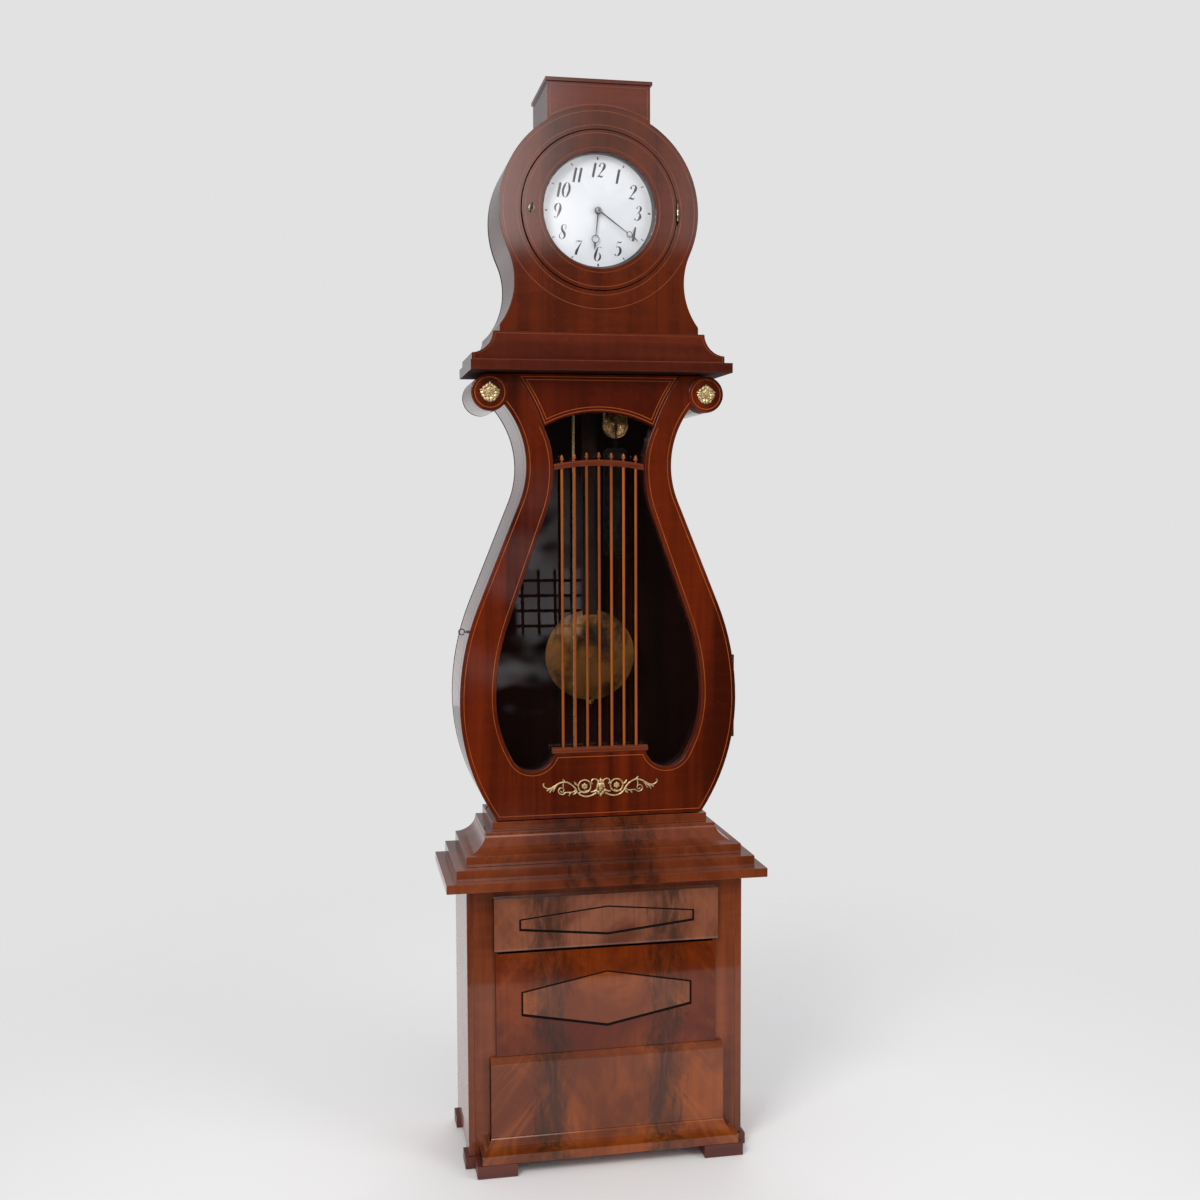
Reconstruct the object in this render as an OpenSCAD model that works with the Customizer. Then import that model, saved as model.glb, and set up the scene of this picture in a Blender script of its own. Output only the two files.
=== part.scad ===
// Longcase clock with a lyre-shaped trunk
// Origin: floor, under the footprint's centre. X right, Y back, Z up, mm.
// Depths go forwards from the case's back, heights up from the floor.

/* [Case depths] */
// Depth of the whole clock, from the back to the front feet
total_depth = 314; // [310:1:330]
// How far the base's stiles lie behind the front feet
base_in = 59.5; // [55:0.5:64]
// Frieze panel proud of the stiles
frieze_proud = 12.5; // [10:0.5:16]
// Middle panel proud of them
middle_proud = 6; // [6:0.5:8]
// Plinth panel proud of them
plinth_proud = 19.5; // [16:0.5:24]
// Foot of its flare proud of them
flare_proud = 58.7; // [50:0.1:60]
// How far the lowest cornice board stands over them
slab_over = 45.3; // [40:0.1:50]
// Width of the ledge on that board
slab_ledge = 22; // [18:0.1:26]
// Width of the ledge on the second board
step_ledge = 24.7; // [20:0.1:28]
// Depth of the cove moulding at its top
cove_top_depth = 205.5; // [200:0.1:212]
// Depth of the board that the lyre stands on
trunk_plinth_depth = 193; // [192.5:0.1:200]
// Depth of the lyre, to the face of its door
trunk_depth = 192; // [186:0.5:192.5]
// Thickness of the lyre door
trunk_door_t = 35; // [30:0.5:38]
// Depth of the board under the head
head_slab_depth = 248.5; // [240:0.5:255]
// Depth of the head, to the face of its front board
head_depth = 207; // [204:0.5:208]
// Depth to face of the round head door
ring_depth = 210; // [208.5:0.5:212]
// Depth of the box on top of the head
box_depth = 201; // [190:0.5:204]
// Depth of the driving rope's and the weight's plane
rope_depth = 120; // [118:0.5:124]
// Depth of the plane in which the pendulum swings
pendulum_depth = 70; // [66:0.5:73]

/* [Base] */
// Height of the feet under the carcase
foot_h = 25; // [20:0.5:30]
// Gap between the plinth panel and the carcase bottom
plinth_lift = 2.8; // [1:0.1:4]
// Half width of the base carcase
base_half_w = 304.6; // [300:0.1:306]
// Top of the base carcase
base_top = 613.8; // [605:0.1:620]
// Thickness of the carcase boards
board_t = 14; // [12:0.5:16]
// Width of each front stile
stile_w = 53; // [50:0.5:53.5]
// Height of the rail above the frieze panel
top_rail_h = 25.8; // [22:0.1:30]
// Height of the frieze panel
frieze_h = 117; // [110:0.5:120]
// From the carcase's side in to the frieze panel
frieze_margin = 57.1; // [54:0.1:60]
// Radius of the frieze panel's lower front edge
frieze_round = 8; // [4:0.5:10]
// Gap between the frieze panel and the middle panel
panel_gap = 4; // [2:0.5:6]
// From the carcase's side in to the middle panel
middle_margin = 60.6; // [58:0.1:64]
// Height of the middle panel
middle_h = 225; // [220:0.5:230]
// From the carcase's side in to the plinth panel
plinth_margin = 46.6; // [43:0.1:50]
// From the carcase's side in to the foot of its flare
flare_margin = 22.6; // [19:0.1:28]
// Height of the upright strip at the foot of the flare
flare_fillet_h = 19; // [14:0.5:24]
// Height of the hollow flare above that strip
flare_h = 28; // [20:0.5:32]
// Height of the bevel on top of the plinth panel
plinth_bevel_h = 13; // [8:0.5:16]
// Depth of the bevel on top of the plinth panel
plinth_bevel_d = 12; // [8:0.5:14]
// Margin between the frieze panel's side and its hexagon
frieze_hex_in = 54.2; // [48:0.1:66]
// Half the height of the frieze hexagon at its middle
frieze_hex_mid = 32.3; // [28:0.1:36]
// Half the height of the frieze hexagon at its ends
frieze_hex_end = 12.8; // [8:0.1:16]
// Margin between the middle panel's side and its hexagon
middle_hex_in = 55; // [46:0.1:64]
// Half the height of the middle hexagon at its middle
middle_hex_mid = 62; // [55:0.5:70]
// Half the height of the middle hexagon at its ends
middle_hex_end = 26.5; // [20:0.5:32]
// Width of the dark groove round each hexagon
hex_groove = 3.5; // [2:0.1:5]
// Depth of the recess that each hexagon lies in
hex_recess = 5; // [4:0.1:5.5]
// How far a hexagon's face lies below its panel
hex_sink = 1; // [0.5:0.1:2]

/* [Feet] */
// Width of a front foot
front_foot_w = 86.8; // [78:0.1:95]
// Distance of a front foot inside the carcase's side
front_foot_side = 12.2; // [8:0.1:18]
// Side feet proud of the carcase
foot_proud = 8.2; // [4:0.1:12]
// Corner feet proud of the stiles
corner_foot_proud = 6.5; // [4:0.5:10]
// Length of the corner and rear feet, front to back
side_foot_l = 54; // [45:1:70]
// Width of the corner and rear feet
side_foot_w = 58; // [45:1:70]

/* [Cornice] */
// Overhang of the lowest cornice board at the sides
slab_side = 45.9; // [40:0.1:50]
// Thickness of the lowest cornice board
slab_h = 19.5; // [17:0.1:22]
// Overhang of the second cornice board there
step_side = 23; // [18:0.1:28]
// Thickness of the second cornice board
step_h = 23.9; // [20:0.1:27]
// Half width of the cove moulding at its foot
cove_half_w = 303.8; // [298:0.1:309]
// Height of the cove moulding's upright foot
cove_fillet_h = 22.2; // [18:0.1:26]
// Height of the cove above that foot
cove_h = 39.2; // [34:0.1:44]
// Half width of the cove moulding at its top
cove_top_half_w = 257; // [250:0.1:262]
// Half width of the board that the lyre stands on
trunk_plinth_half_w = 240.9; // [236:0.1:248]
// Thickness of that board
trunk_plinth_h = 20; // [17:0.1:23]
// Half width of the well that the weight runs down in
well_half_w = 110; // [105:1:112]
// Width of that well, front to back
well_l = 105; // [100:1:108]
// Depth to the front of that well
well_depth = 155; // [150:0.5:156]

/* [Lyre] */
// Half the greatest width of the lyre
belly_x = 308.5; // [304:0.5:309]
// Height of the lyre's widest place above its foot
belly_rise = 259.4; // [250:0.1:270]
// Radius of the belly below its widest place
belly_low_r = 457; // [440:1:480]
// Radius of the belly above its widest place
belly_up_r = 560; // [540:1:580]
// Half width of the lyre's waist
waist_x = 160.5; // [156:0.5:163]
// Height above its foot of the lyre's waist
waist_rise = 773.4; // [765:0.1:780]
// Radius of the hollow at the lyre's waist
waist_r = 205; // [200:1:210]
// Distance of a scroll's centre from the middle
scroll_x = 238; // [236:0.5:240]
// Radius of a scroll
scroll_r = 40; // [39:0.5:41]
// Height of the lyre door
lyre_h = 967.4; // [965:0.1:970]
// Thickness of the trunk's walls
trunk_wall = 14; // [12:0.5:16]
// Half width of the straight inner wall beside each scroll
neck_in_x = 161; // [154:0.5:168]
// Gap under the lyre door
door_sill_gap = 2; // [1:0.1:3]
// Gap between the lyre door and the head's board
door_head_gap = 3; // [1.5:0.1:4]
// Gap between the back of the lyre door and the carcase
door_back_gap = 1; // [0.8:0.1:1.5]
// How far a scroll's disc stands proud of the door
scroll_proud = 4; // [2:0.1:6]

/* [Lyre opening] */
// Half the greatest width of the glass opening
open_belly_x = 229.5; // [225:0.5:233]
// Height of its widest place above its foot
open_belly_rise = 269.4; // [262:0.1:275]
// Radius of the opening above its widest place
open_up_r = 500; // [490:1:510]
// Radius of the opening below its widest place
open_low_r = 275; // [268:1:282]
// Height of the lowest place of the two lobes above its foot
lobe_rise = 107.4; // [102:0.1:112]
// Distance of a lobe's lowest place from the middle
lobe_x = 150; // [147:0.5:153]
// Height of the tongue between the lobes above its foot
tongue_rise = 145.4; // [142:0.1:149]
// Half width of the opening at its waist
open_waist_x = 101; // [99:0.5:103]
// Height of that waist above its foot
open_waist_rise = 766.4; // [762:0.1:770]
// Radius of the opening's waist below its narrowest place
open_waist_low_r = 290; // [280:1:300]
// Radius of the opening's waist above its narrowest place
open_waist_up_r = 205; // [198:1:212]
// Height of the crest's lower corners above its foot
crest_rise = 856.4; // [852:0.1:860]
// Radius of the arch under the crest
arch_r = 247; // [235:1:260]
// Half width of the crest at its top
crest_top_x = 180; // [176:0.5:184]
// Radius of the crest's hollow sides
crest_side_r = 420; // [400:5:600]
// Width of the groove between the crest and the arms
crest_groove = 1.5; // [0.5:0.1:2]
// Depth of that groove
crest_groove_d = 4; // [2:0.5:6]
// Width of the rebate that the glass lies in
glass_rebate = 8; // [6:0.5:10]
// Depth of that rebate, from the back of the door
glass_rebate_d = 10; // [8:0.5:12]
// Thickness of the glass
glass_t = 3; // [2:0.5:4]

/* [Lyre strings] */
// Number of strings
string_count = 7; // [5:1:7]
// Distance from string to string
string_pitch = 27.3; // [24:0.1:28]
// Radius of a string
string_r = 3.8; // [3:0.1:4.5]
// Thickness of the crossbar
crossbar_h = 13.5; // [12:0.5:16]
// Width of the crossbar, front to back
crossbar_w = 12; // [10:0.5:14]
// How far the crossbar bows upwards
crossbar_bow = 10; // [8:0.5:12]
// Height of the crossbar's middle above its foot
crossbar_rise = 780.2; // [775:0.1:784]
// How far the crossbar's axis lies behind the door's face
string_set_back = 7; // [7:0.5:10]
// Half width of the bridge that the strings stand on
bridge_half_w = 107; // [104:0.5:110]
// Height of the bridge
bridge_h = 12.5; // [10:0.5:14]
// Width of the bridge, front to back
bridge_w = 20; // [18:0.5:22]
// Height of the turned finial over each string
finial_h = 17; // [14:0.5:20]
// Greatest radius of a finial
finial_r = 3.9; // [3:0.1:4.5]

/* [Stringing] */
// Width of the light lines
inlay_w = 1.5; // [1:0.1:2]
// How far they stand proud of the wood
inlay_t = 0.3; // [0.2:0.1:0.5]
// Distance of a line from the edge that it follows
inlay_edge = 8; // [6:0.5:10]
// Distance between the crest's two lines
inlay_pair = 6.5; // [5:0.5:8]

// Outer radius of the line on each scroll
scroll_line_r = 33; // [30:0.5:35]

/* [Gilt mounts] */
// Thickness of the gilt mounts
gilt_t = 3; // [2:0.5:4]
// Radius of a rosette
rose_r = 23; // [20:0.5:25]
// Number of petals on a rosette
petal_count = 5; // [4:1:6]
// Height of the scroll mount's middle above its foot
mount_rise = 68; // [60:0.5:74]
// Half width of the scroll mount
mount_half_w = 130; // [124:1:134]
// Distance of a large scroll from the middle
big_scroll_x = 34; // [30:0.5:38]
// Radius of a large scroll
big_scroll_r = 17; // [15:0.5:18]
// Distance of a small scroll from the middle
small_scroll_x = 74; // [70:0.5:78]
// Radius of a small scroll
small_scroll_r = 11; // [9:0.5:12]
// Width of the mount's stems
stem_w = 3.5; // [3:0.1:4]

/* [Hinges and keys] */
// Height of the trunk's hinges
leaf_h = 50; // [44:1:56]
// From a trunk hinge's pin to its leaf's inner edge
leaf_w = 24; // [20:1:28]
// Thickness of the trunk hinges' leaves
leaf_t = 0.9; // [0.7:0.1:1]
// Radius of the trunk hinges' knuckles
knuckle_r = 3; // [2.6:0.1:3.2]
// Radius of the hinge pins
pin_r = 1.5; // [1.2:0.1:1.7]
// Trunk hinges' pins outside the lyre's widest place
pin_out = 3.5; // [3.3:0.1:6]
// Lower trunk hinge below the lyre's widest place
hinge_drop = 70; // [60:1:90]
// Upper trunk hinge above the lyre's widest place
hinge_lift = 66; // [60:1:90]
// Height of the head door's hinge
head_leaf_h = 37; // [32:1:42]
// Length of its leaves, front to back
head_leaf_l = 12.8; // [10:0.1:14]
// Radius of its knuckles
head_knuckle_r = 2.5; // [2.3:0.1:2.7]
// Height of the trunk's key above its foot
trunk_key_rise = 416; // [390:1:440]
// Depth to the axis of the trunk's key
trunk_key_depth = 175; // [172:0.5:178]
// Distance of head's key from the middle
head_key_x = 148.5; // [144:0.5:152]
// Radius of a key's shaft
key_r = 2.2; // [1.8:0.1:2.6]
// Length of a key's shaft in its lock
key_in = 16; // [12:1:17]
// Length of a key's shaft outside its lock
key_out = 9; // [7:0.5:12]
// Radius of a key's bow
key_bow_r = 6.2; // [5:0.1:8]

/* [Head] */
// Half width of the board under the head
head_slab_half_w = 283.6; // [280:0.1:288]
// Thickness of that board
head_slab_h = 21.2; // [19:0.1:24]
// Half width of the head's plinth at its foot
head_plinth_half_w = 277; // [272:0.5:280]
// Half width of the head's plinth at its top
head_plinth_top_half_w = 231.4; // [226:0.1:236]
// Height of the head's plinth
head_plinth_h = 64.5; // [60:0.1:69]
// Height of the upright strip at the foot of the head's plinth
head_plinth_fillet = 18; // [14:0.5:22]
// Half width of the head at its foot
head_half_w = 217.2; // [214:0.1:220]
// Half width of the head's waist
head_waist_x = 185.4; // [183:0.1:188]
// Height of the head's waist above the head's foot
head_waist_rise = 108.2; // [104:0.1:112]
// Radius of the head's round top
head_r = 217; // [214:0.5:219]
// Height of the round top's centre above the head's foot
head_centre_rise = 258.2; // [254:0.1:262]
// Thickness of the head's front board
head_board_t = 18; // [16:0.5:20]
// Thickness of the head's bent sides
head_wall = 12; // [10:0.5:14]
// Half width of the box on top
box_half_w = 112; // [108:0.5:116]
// Height of the box over the head's round top
box_rise = 50.1; // [42:0.1:60]
// Thickness of the box's cap
cap_h = 8; // [6:0.5:10]
// How far the cap stands over the box
cap_over = 4; // [2:0.5:6]
// Radius of the round door
ring_r = 168.7; // [166:0.1:170]
// Gap round the round door
ring_gap = 1.5; // [1:0.1:2]
// Radius of the round door's opening
ring_open_r = 122.5; // [121:0.1:124]
// Thickness of the round door
ring_t = 18; // [16:0.5:19]
// Width of the rebate for the round glass
ring_rebate = 4; // [3:0.5:5]
// Distance of round glass behind the door's face
ring_glass_in = 5; // [4:0.5:5.5]
// Thickness of the round glass
ring_glass_t = 2; // [1.5:0.5:2.5]

/* [Dial and hands] */
// Height of the hands' arbor above the centre of the round door
dial_lift = 3; // [1:0.5:4]
// Depth to face of the dial
dial_depth = 184; // [183:0.5:185]
// Thickness of the dial plate
dial_t = 2; // [1.5:0.5:2.5]
// Radius of the dial plate
dial_r = 128; // [124:1:135]
// Radius of the grey mask's opening
mask_r = 119; // [117:0.5:121]
// Outer radius of the mask
mask_out_r = 178; // [174:1:182]
// Thickness of the mask
mask_t = 4.7; // [4:0.1:5]
// Thickness of the hands
hand_t = 1.2; // [1:0.1:1.5]
// Distance of hour hand's ring from its arbor
hour_ring_at = 60.5; // [55:0.5:64]
// Outer radius of the hour hand's ring
hour_ring_r = 8.5; // [6:0.5:10]
// Length of the hour hand
hour_len = 85; // [80:1:90]
// Distance of minute hand's ring from its arbor
minute_ring_at = 83.6; // [78:0.1:88]
// Outer radius of the minute hand's ring
minute_ring_r = 6.7; // [5:0.1:8]
// Length of the minute hand
minute_len = 107; // [102:1:112]
// Hour hand's angle, clockwise from the top
hour_angle = 186; // [0:1:359]
// Minute hand's angle, clockwise from the top
minute_angle = 126; // [0:1:359]

/* [Movement] */
// Depth to the front of the front plate
front_plate_depth = 164; // [163:0.5:165]
// Thickness of the plates
plate_t = 2.5; // [2:0.5:3]
// Distance between the plates
plate_gap = 61.5; // [60:0.5:62]
// Half width of the plates
plate_half_w = 60; // [58:1:64]
// Height of the plates
plate_h = 188; // [184:1:192]
// Foot of the plates below the hands' arbor
plate_drop = 104; // [102:1:108]
// Radius of the pillars between the plates
pillar_r = 5; // [4:0.5:6]
// Thickness of the seat board
seat_t = 18; // [16:1:20]
// Depth to the front of the seat board
seat_depth = 165; // [162:1:168]
// Width of the seat board, front to back
seat_l = 72; // [68:1:76]
// Radius of the arbors
arbor_r = 2.5; // [2:0.1:3]
// Radius of the pivots
pivot_r = 1.5; // [1:0.1:2]
// Running clearance of pivots and pipes
run_gap = 0.08; // [0.05:0.01:0.1]
// Thickness of the wheels
wheel_t = 2; // [1.5:0.1:2.5]
// Module of the great wheel's teeth
great_module = 1.4; // [1.3:0.05:1.4]
// Module of the upper train
train_module = 0.8; // [0.75:0.05:0.8]
// Module of the third wheel's teeth
third_module = 0.7; // [0.65:0.05:0.7]
// Radius of the escape wheel
escape_r = 18; // [16:0.5:18]
// From escape arbor to anchor's arbor
anchor_rise = 25.5; // [25:0.1:26]
// Gap between a resting pallet and the wheel's tips
pallet_gap = 0.9; // [0.85:0.05:1.2]
// Module of the motion work
motion_module = 0.7; // [0.65:0.05:0.7]
// Radius at which the rope lies in the great wheel's sheave
sheave_r = 35; // [33:0.5:35]
// How far the great wheel's arbor lies left of the middle
great_x = 10; // [8:0.5:12]
// Length of the crutch
crutch_l = 130; // [120:1:140]

/* [Pendulum, rope and weight] */
// Height of the bob's centre above the trunk's foot
bob_rise = 348.4; // [330:0.1:362]
// Radius of the bob
bob_r = 102.5; // [98:0.5:105]
// Thickness of the bob
bob_t = 24; // [20:1:26]
// Width of the pendulum's wooden rod
rod_w = 34; // [30:1:40]
// Thickness of that rod
rod_t = 7; // [6:0.5:8]
// Radius of the rope
rope_r = 3.2; // [2.5:0.1:3.5]
// Radius of the weight's pulley
pulley_r = 28.5; // [26:0.5:30]
// Radius at which the rope lies in the pulley
pulley_rope_r = 25; // [23:0.5:26]
// Height of the wound-up pulley above the trunk's foot
pulley_rise = 864.4; // [850:0.1:876]
// Radius of the weight
weight_r = 27; // [24:0.5:28]
// Height of the weight
weight_h = 240; // [200:5:260]
// Height of the ring weight's foot
ring_weight_z = 120; // [80:5:160]
// Outer radius of the ring weight
ring_weight_r = 20; // [16:0.5:22]
// Height of the ring weight
ring_weight_h = 40; // [30:1:50]

/* [Hidden] */
$fn = 96;

mahogany = [0.42, 0.16, 0.09];
dark_wood = [0.25, 0.09, 0.06];
flame_wood = [0.55, 0.24, 0.12];
line_wood = [0.80, 0.48, 0.22];
brass = [0.78, 0.62, 0.30];
steel = [0.36, 0.38, 0.41];
iron = [0.10, 0.10, 0.11];
rope_tone = [0.55, 0.48, 0.38];

back_y = total_depth / 2;
eps = 0.01;
seat_gap = 0.3;

// Fittings that come in one size
nut_r = 9;
nut_h = 8;
thread_r = 3;
suspension_w = 8;
suspension_l = 20;
third_rise = 22;
hour_hand_out = 4;
minute_hand_out = 5;
weight_drop = 22;
cleat_w = 22;
cleat_h = 20;
head_leaf_t = 1;
leaf_seat = 0.6;
hand_w = 3.2;
great_t = 2.5;

// The movement's fixed sizes; a layer is a distance from the front plate's face
great_teeth = 60;
centre_leaves = 12;
centre_teeth = 64;
third_teeth = 60;
train_leaves = 8;
escape_teeth = 30;
cannon_leaves = 10;
minute_teeth = 30;
minute_leaves = 8;
hour_teeth = 32;
crossing_a = 34;
shake = 0.5;
hub_r = 6;
great_hub_r = 14;
tooth_l = 2.8;
pallet_a = 43;
cannon_pipe_r = 2.5;
hour_pipe_r = 4;
hour_boss_r = 8;
minute_boss_r = 6;
axle_r = 2;
wire_r = 1.5;
key_wire_r = 1.3;
flange_t = 2.5;
pinion_l = 6;
cock_w = 24;
suspension_t = 1;
dial_foot_r = 3;
dial_foot_at = 52;
great_layer = 32;
centre_layer = 19;
third_layer = 9;
escape_layer = 26;
crutch_layer = 70;
motion_layer = 4.5;

arc_step = 3;

base_depth = total_depth - base_in;
frieze_depth = base_depth + frieze_proud;
middle_depth = base_depth + middle_proud;
plinth_depth = base_depth + plinth_proud;
flare_depth = base_depth + flare_proud;
corner_foot_depth = base_depth + corner_foot_proud;
slab_depth = base_depth + slab_over;
step_depth = slab_depth - slab_ledge;
cove_depth = step_depth - step_ledge;
frieze_half_w = base_half_w - frieze_margin;
middle_half_w = base_half_w - middle_margin;
plinth_half_w = base_half_w - plinth_margin;
flare_half_w = base_half_w - flare_margin;
frieze_hex_half_w = frieze_half_w - frieze_hex_in;
middle_hex_half_w = middle_half_w - middle_hex_in;
slab_half_w = base_half_w + slab_side;
step_half_w = base_half_w + step_side;
frieze_top = base_top - top_rail_h;
frieze_z = frieze_top - frieze_h;
middle_top = frieze_z - panel_gap;
middle_z = middle_top - middle_h;
plinth_z = foot_h + plinth_lift;
step_z = base_top + slab_h;
cove_z = step_z + step_h;
cove_foot_top = cove_z + cove_fillet_h;
trunk_plinth_z = cove_foot_top + cove_h;
trunk_z = trunk_plinth_z + trunk_plinth_h;
lyre_z = trunk_z + door_sill_gap;
bob_z = trunk_z + bob_rise;
pulley_z = trunk_z + pulley_rise;
belly_z = trunk_z + belly_rise;
waist_z = trunk_z + waist_rise;
lyre_top = lyre_z + lyre_h;
scroll_z = lyre_top - scroll_r;
head_slab_z = lyre_top + door_head_gap;
head_plinth_z = head_slab_z + head_slab_h;
head_z = head_plinth_z + head_plinth_h;
head_centre = head_z + head_centre_rise;
head_waist_z = head_z + head_waist_rise;
box_top = head_centre + head_r + box_rise;
dial_z = head_centre + dial_lift;
carcase_depth = trunk_depth - trunk_door_t - door_back_gap;
door_back_depth = trunk_depth - trunk_door_t;
mount_z = trunk_z + mount_rise;
string_depth = trunk_depth - string_set_back;
trunk_hinge_z = [belly_z - hinge_drop, belly_z + hinge_lift];
trunk_pin_x = belly_x + pin_out;
trunk_pin_y = back_y - carcase_depth - door_back_gap / 2;
head_pin_x = ring_r + ring_gap - seat_gap;
head_pin_y = back_y - ring_depth - head_knuckle_r - seat_gap;
trunk_key_z = trunk_z + trunk_key_rise;

back_plate_depth = front_plate_depth - plate_t - plate_gap;
plate_foot = dial_z - plate_drop;
seat_z = plate_foot - seat_t;
great_depth = front_plate_depth - great_layer;
centre_depth = front_plate_depth - centre_layer;
third_depth = front_plate_depth - third_layer;
escape_depth = front_plate_depth - escape_layer;
crutch_depth = front_plate_depth - crutch_layer;
motion_depth = front_plate_depth + motion_layer;
hour_hand_depth = dial_depth + hour_hand_out;
minute_hand_depth = hour_hand_depth + minute_hand_out;

// Arbors, as points in XZ whose distances fit the wheels that mesh
great_reach = great_module * (great_teeth + centre_leaves) / 2;
centre_reach = train_module * (centre_teeth + train_leaves) / 2;
third_reach = third_module * (third_teeth + train_leaves) / 2;
centre_at = [0, dial_z];
great_at = [-great_x, dial_z - sqrt(great_reach * great_reach - great_x * great_x)];
third_at = [-sqrt(centre_reach * centre_reach - third_rise * third_rise), dial_z + third_rise];
escape_at = [0, third_at[1] + sqrt(third_reach * third_reach - third_at[0] * third_at[0])];
anchor_at = escape_at + [0, anchor_rise];
minute_at = [motion_module * (cannon_leaves + minute_teeth) / 2, dial_z];

// Turns that put a tooth of each wheel into a gap of its pinion
great_turn = atan2(dial_z - great_at[1], great_x);
centre_turn = atan2(third_rise, third_at[0]);
third_turn = atan2(escape_at[1] - third_at[1], -third_at[0]);

hour_wheel_depth = motion_depth + wheel_t + pinion_l - 1.5;
drive_x = sheave_r - great_x;
tail_x = -sheave_r - great_x;
pulley_x = drive_x + pulley_rope_r;
groove_half_w = rope_r + seat_gap;
cleat_x = head_waist_x - head_wall - cleat_w;

// Y of a face that lies a given depth in front of the case's back
function face(depth) = back_y - depth;

// Points along an arc, about every arc_step degrees
function arc(c, r, a0, a1, step = arc_step) =
  let (n = max(1, ceil(abs(a1 - a0) / step)))
  [for (i = [0:n]) let (a = a0 + (a1 - a0) * i / n) c + r * [cos(a), sin(a)]];

// An arc of radius r from p to q with its centre right of the way
function arc_between(p, q, r, n = 8) =
  let (
    d = q - p,
    l = norm(d),
    c = (p + q) / 2 + [d[1], -d[0]] / l * sqrt(r * r - l * l / 4),
    a0 = atan2(p[1] - c[1], p[0] - c[0]),
    a1 = atan2(q[1] - c[1], q[0] - c[0]),
    turn = a1 - a0 > 180 ? a1 - a0 - 360 : a1 - a0 < -180 ? a1 - a0 + 360 : a1 - a0
  )
  [for (i = [0:n]) c + r * [cos(a0 + turn * i / n), sin(a0 + turn * i / n)]];

// A closed outline from its right half, foot to top
function both_halves(right) =
  concat(right, [for (i = [len(right) - 1:-1:0]) [-right[i][0], right[i][1]]]);

// Slope of the straight tangent to a bulging and a hollow arc
function tangent_slope(c_low, r_low, c_up, r_up) =
  let (d = c_up - c_low) atan2(d[1], d[0]) - acos((r_low + r_up) / norm(d));

// Stands an outline in XZ up as a board with its face at a depth
module upright(depth, t) {
  translate([0, face(depth) + t, 0]) rotate([90, 0, 0]) linear_extrude(t) children();
}

// A box between two depths, two heights and both sides of the middle
module mid_box(half_w, depth, back_depth, z, h) {
  translate([-half_w, face(depth), z]) cube([2 * half_w, depth - back_depth, h]);
}

// A round bar along Y from one depth back to another
module bar_y(x, z, r, depth, back_depth) {
  translate([x, face(depth), z]) rotate([-90, 0, 0]) cylinder(r = r, h = depth - back_depth);
}

// Places its children on both sides of the middle
module both_sides() {
  children();
  mirror([1, 0, 0]) children();
}

// Feet
module feet() {
  color(dark_wood) both_sides() {
    translate([base_half_w - front_foot_side - front_foot_w, face(total_depth), 0])
      cube([front_foot_w, total_depth - corner_foot_depth - seat_gap, plinth_z]);
    for (depth = [corner_foot_depth, side_foot_l])
      translate([base_half_w + foot_proud - side_foot_w, face(depth), 0])
        cube([side_foot_w, side_foot_l, foot_h]);
  }
}

// Base
module base_bottom_board() {
  color(dark_wood)
    mid_box(base_half_w - board_t, base_depth - board_t, board_t, foot_h, board_t);
}

module base_sides() {
  color(mahogany) both_sides()
    translate([base_half_w - board_t, face(base_depth), foot_h])
      cube([board_t, base_depth, base_top - foot_h]);
}

module base_back_board() {
  color(dark_wood)
    mid_box(base_half_w - board_t, board_t, 0, foot_h, base_top - foot_h);
}

module base_front_frame() {
  inner = base_half_w - board_t;
  open_half_w = base_half_w - stile_w - board_t;
  color(mahogany) difference() {
    mid_box(inner, base_depth, base_depth - board_t, foot_h, base_top - foot_h);
    mid_box(open_half_w, base_depth + 1, base_depth - board_t - 1,
      foot_h + 2 * board_t, frieze_top - foot_h - 2 * board_t - board_t);
  }
}

function hexagon(half_w, mid, end) =
  [[-half_w, -end], [0, -mid], [half_w, -end], [half_w, end], [0, mid], [-half_w, end]];

// A hexagon drawn in by the same distance all round its long sides and its ends
function hexagon_in(half_w, mid, end, by) =
  let (
    rise = mid - end,
    slant = norm([half_w, rise]) / half_w,
    new_half = half_w - by,
    new_mid = mid - by * slant
  )
  hexagon(new_half, new_mid, new_mid - rise * new_half / half_w);

module frieze_panel() {
  proud = frieze_depth - base_depth;
  r = min(frieze_round, proud - 1);
  color(flame_wood) difference() {
    translate([-frieze_half_w, face(base_depth), frieze_z]) rotate([90, 0, 90])
      linear_extrude(2 * frieze_half_w)
        polygon(concat(
          [[0, frieze_h], [0, 0]],
          arc([r - proud, r], r, 270, 180, 10),
          [[-proud, frieze_h]]));
    translate([0, 0, frieze_z + frieze_h / 2]) upright(frieze_depth + 1, hex_recess + 1)
      polygon(hexagon(frieze_hex_half_w, frieze_hex_mid, frieze_hex_end));
  }
}

module middle_panel() {
  color(flame_wood) difference() {
    mid_box(middle_half_w, middle_depth, base_depth, middle_z, middle_h);
    translate([0, 0, middle_z + middle_h / 2]) upright(middle_depth + 1, hex_recess + 1)
      polygon(hexagon(middle_hex_half_w, middle_hex_mid, middle_hex_end));
  }
}

module panel_fields() {
  t = hex_recess - hex_sink;
  color(flame_wood) {
    translate([0, 0, frieze_z + frieze_h / 2]) upright(frieze_depth - hex_sink, t)
      polygon(hexagon_in(frieze_hex_half_w, frieze_hex_mid, frieze_hex_end, hex_groove));
    translate([0, 0, middle_z + middle_h / 2]) upright(middle_depth - hex_sink, t)
      polygon(hexagon_in(middle_hex_half_w, middle_hex_mid, middle_hex_end, hex_groove));
  }
}

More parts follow.
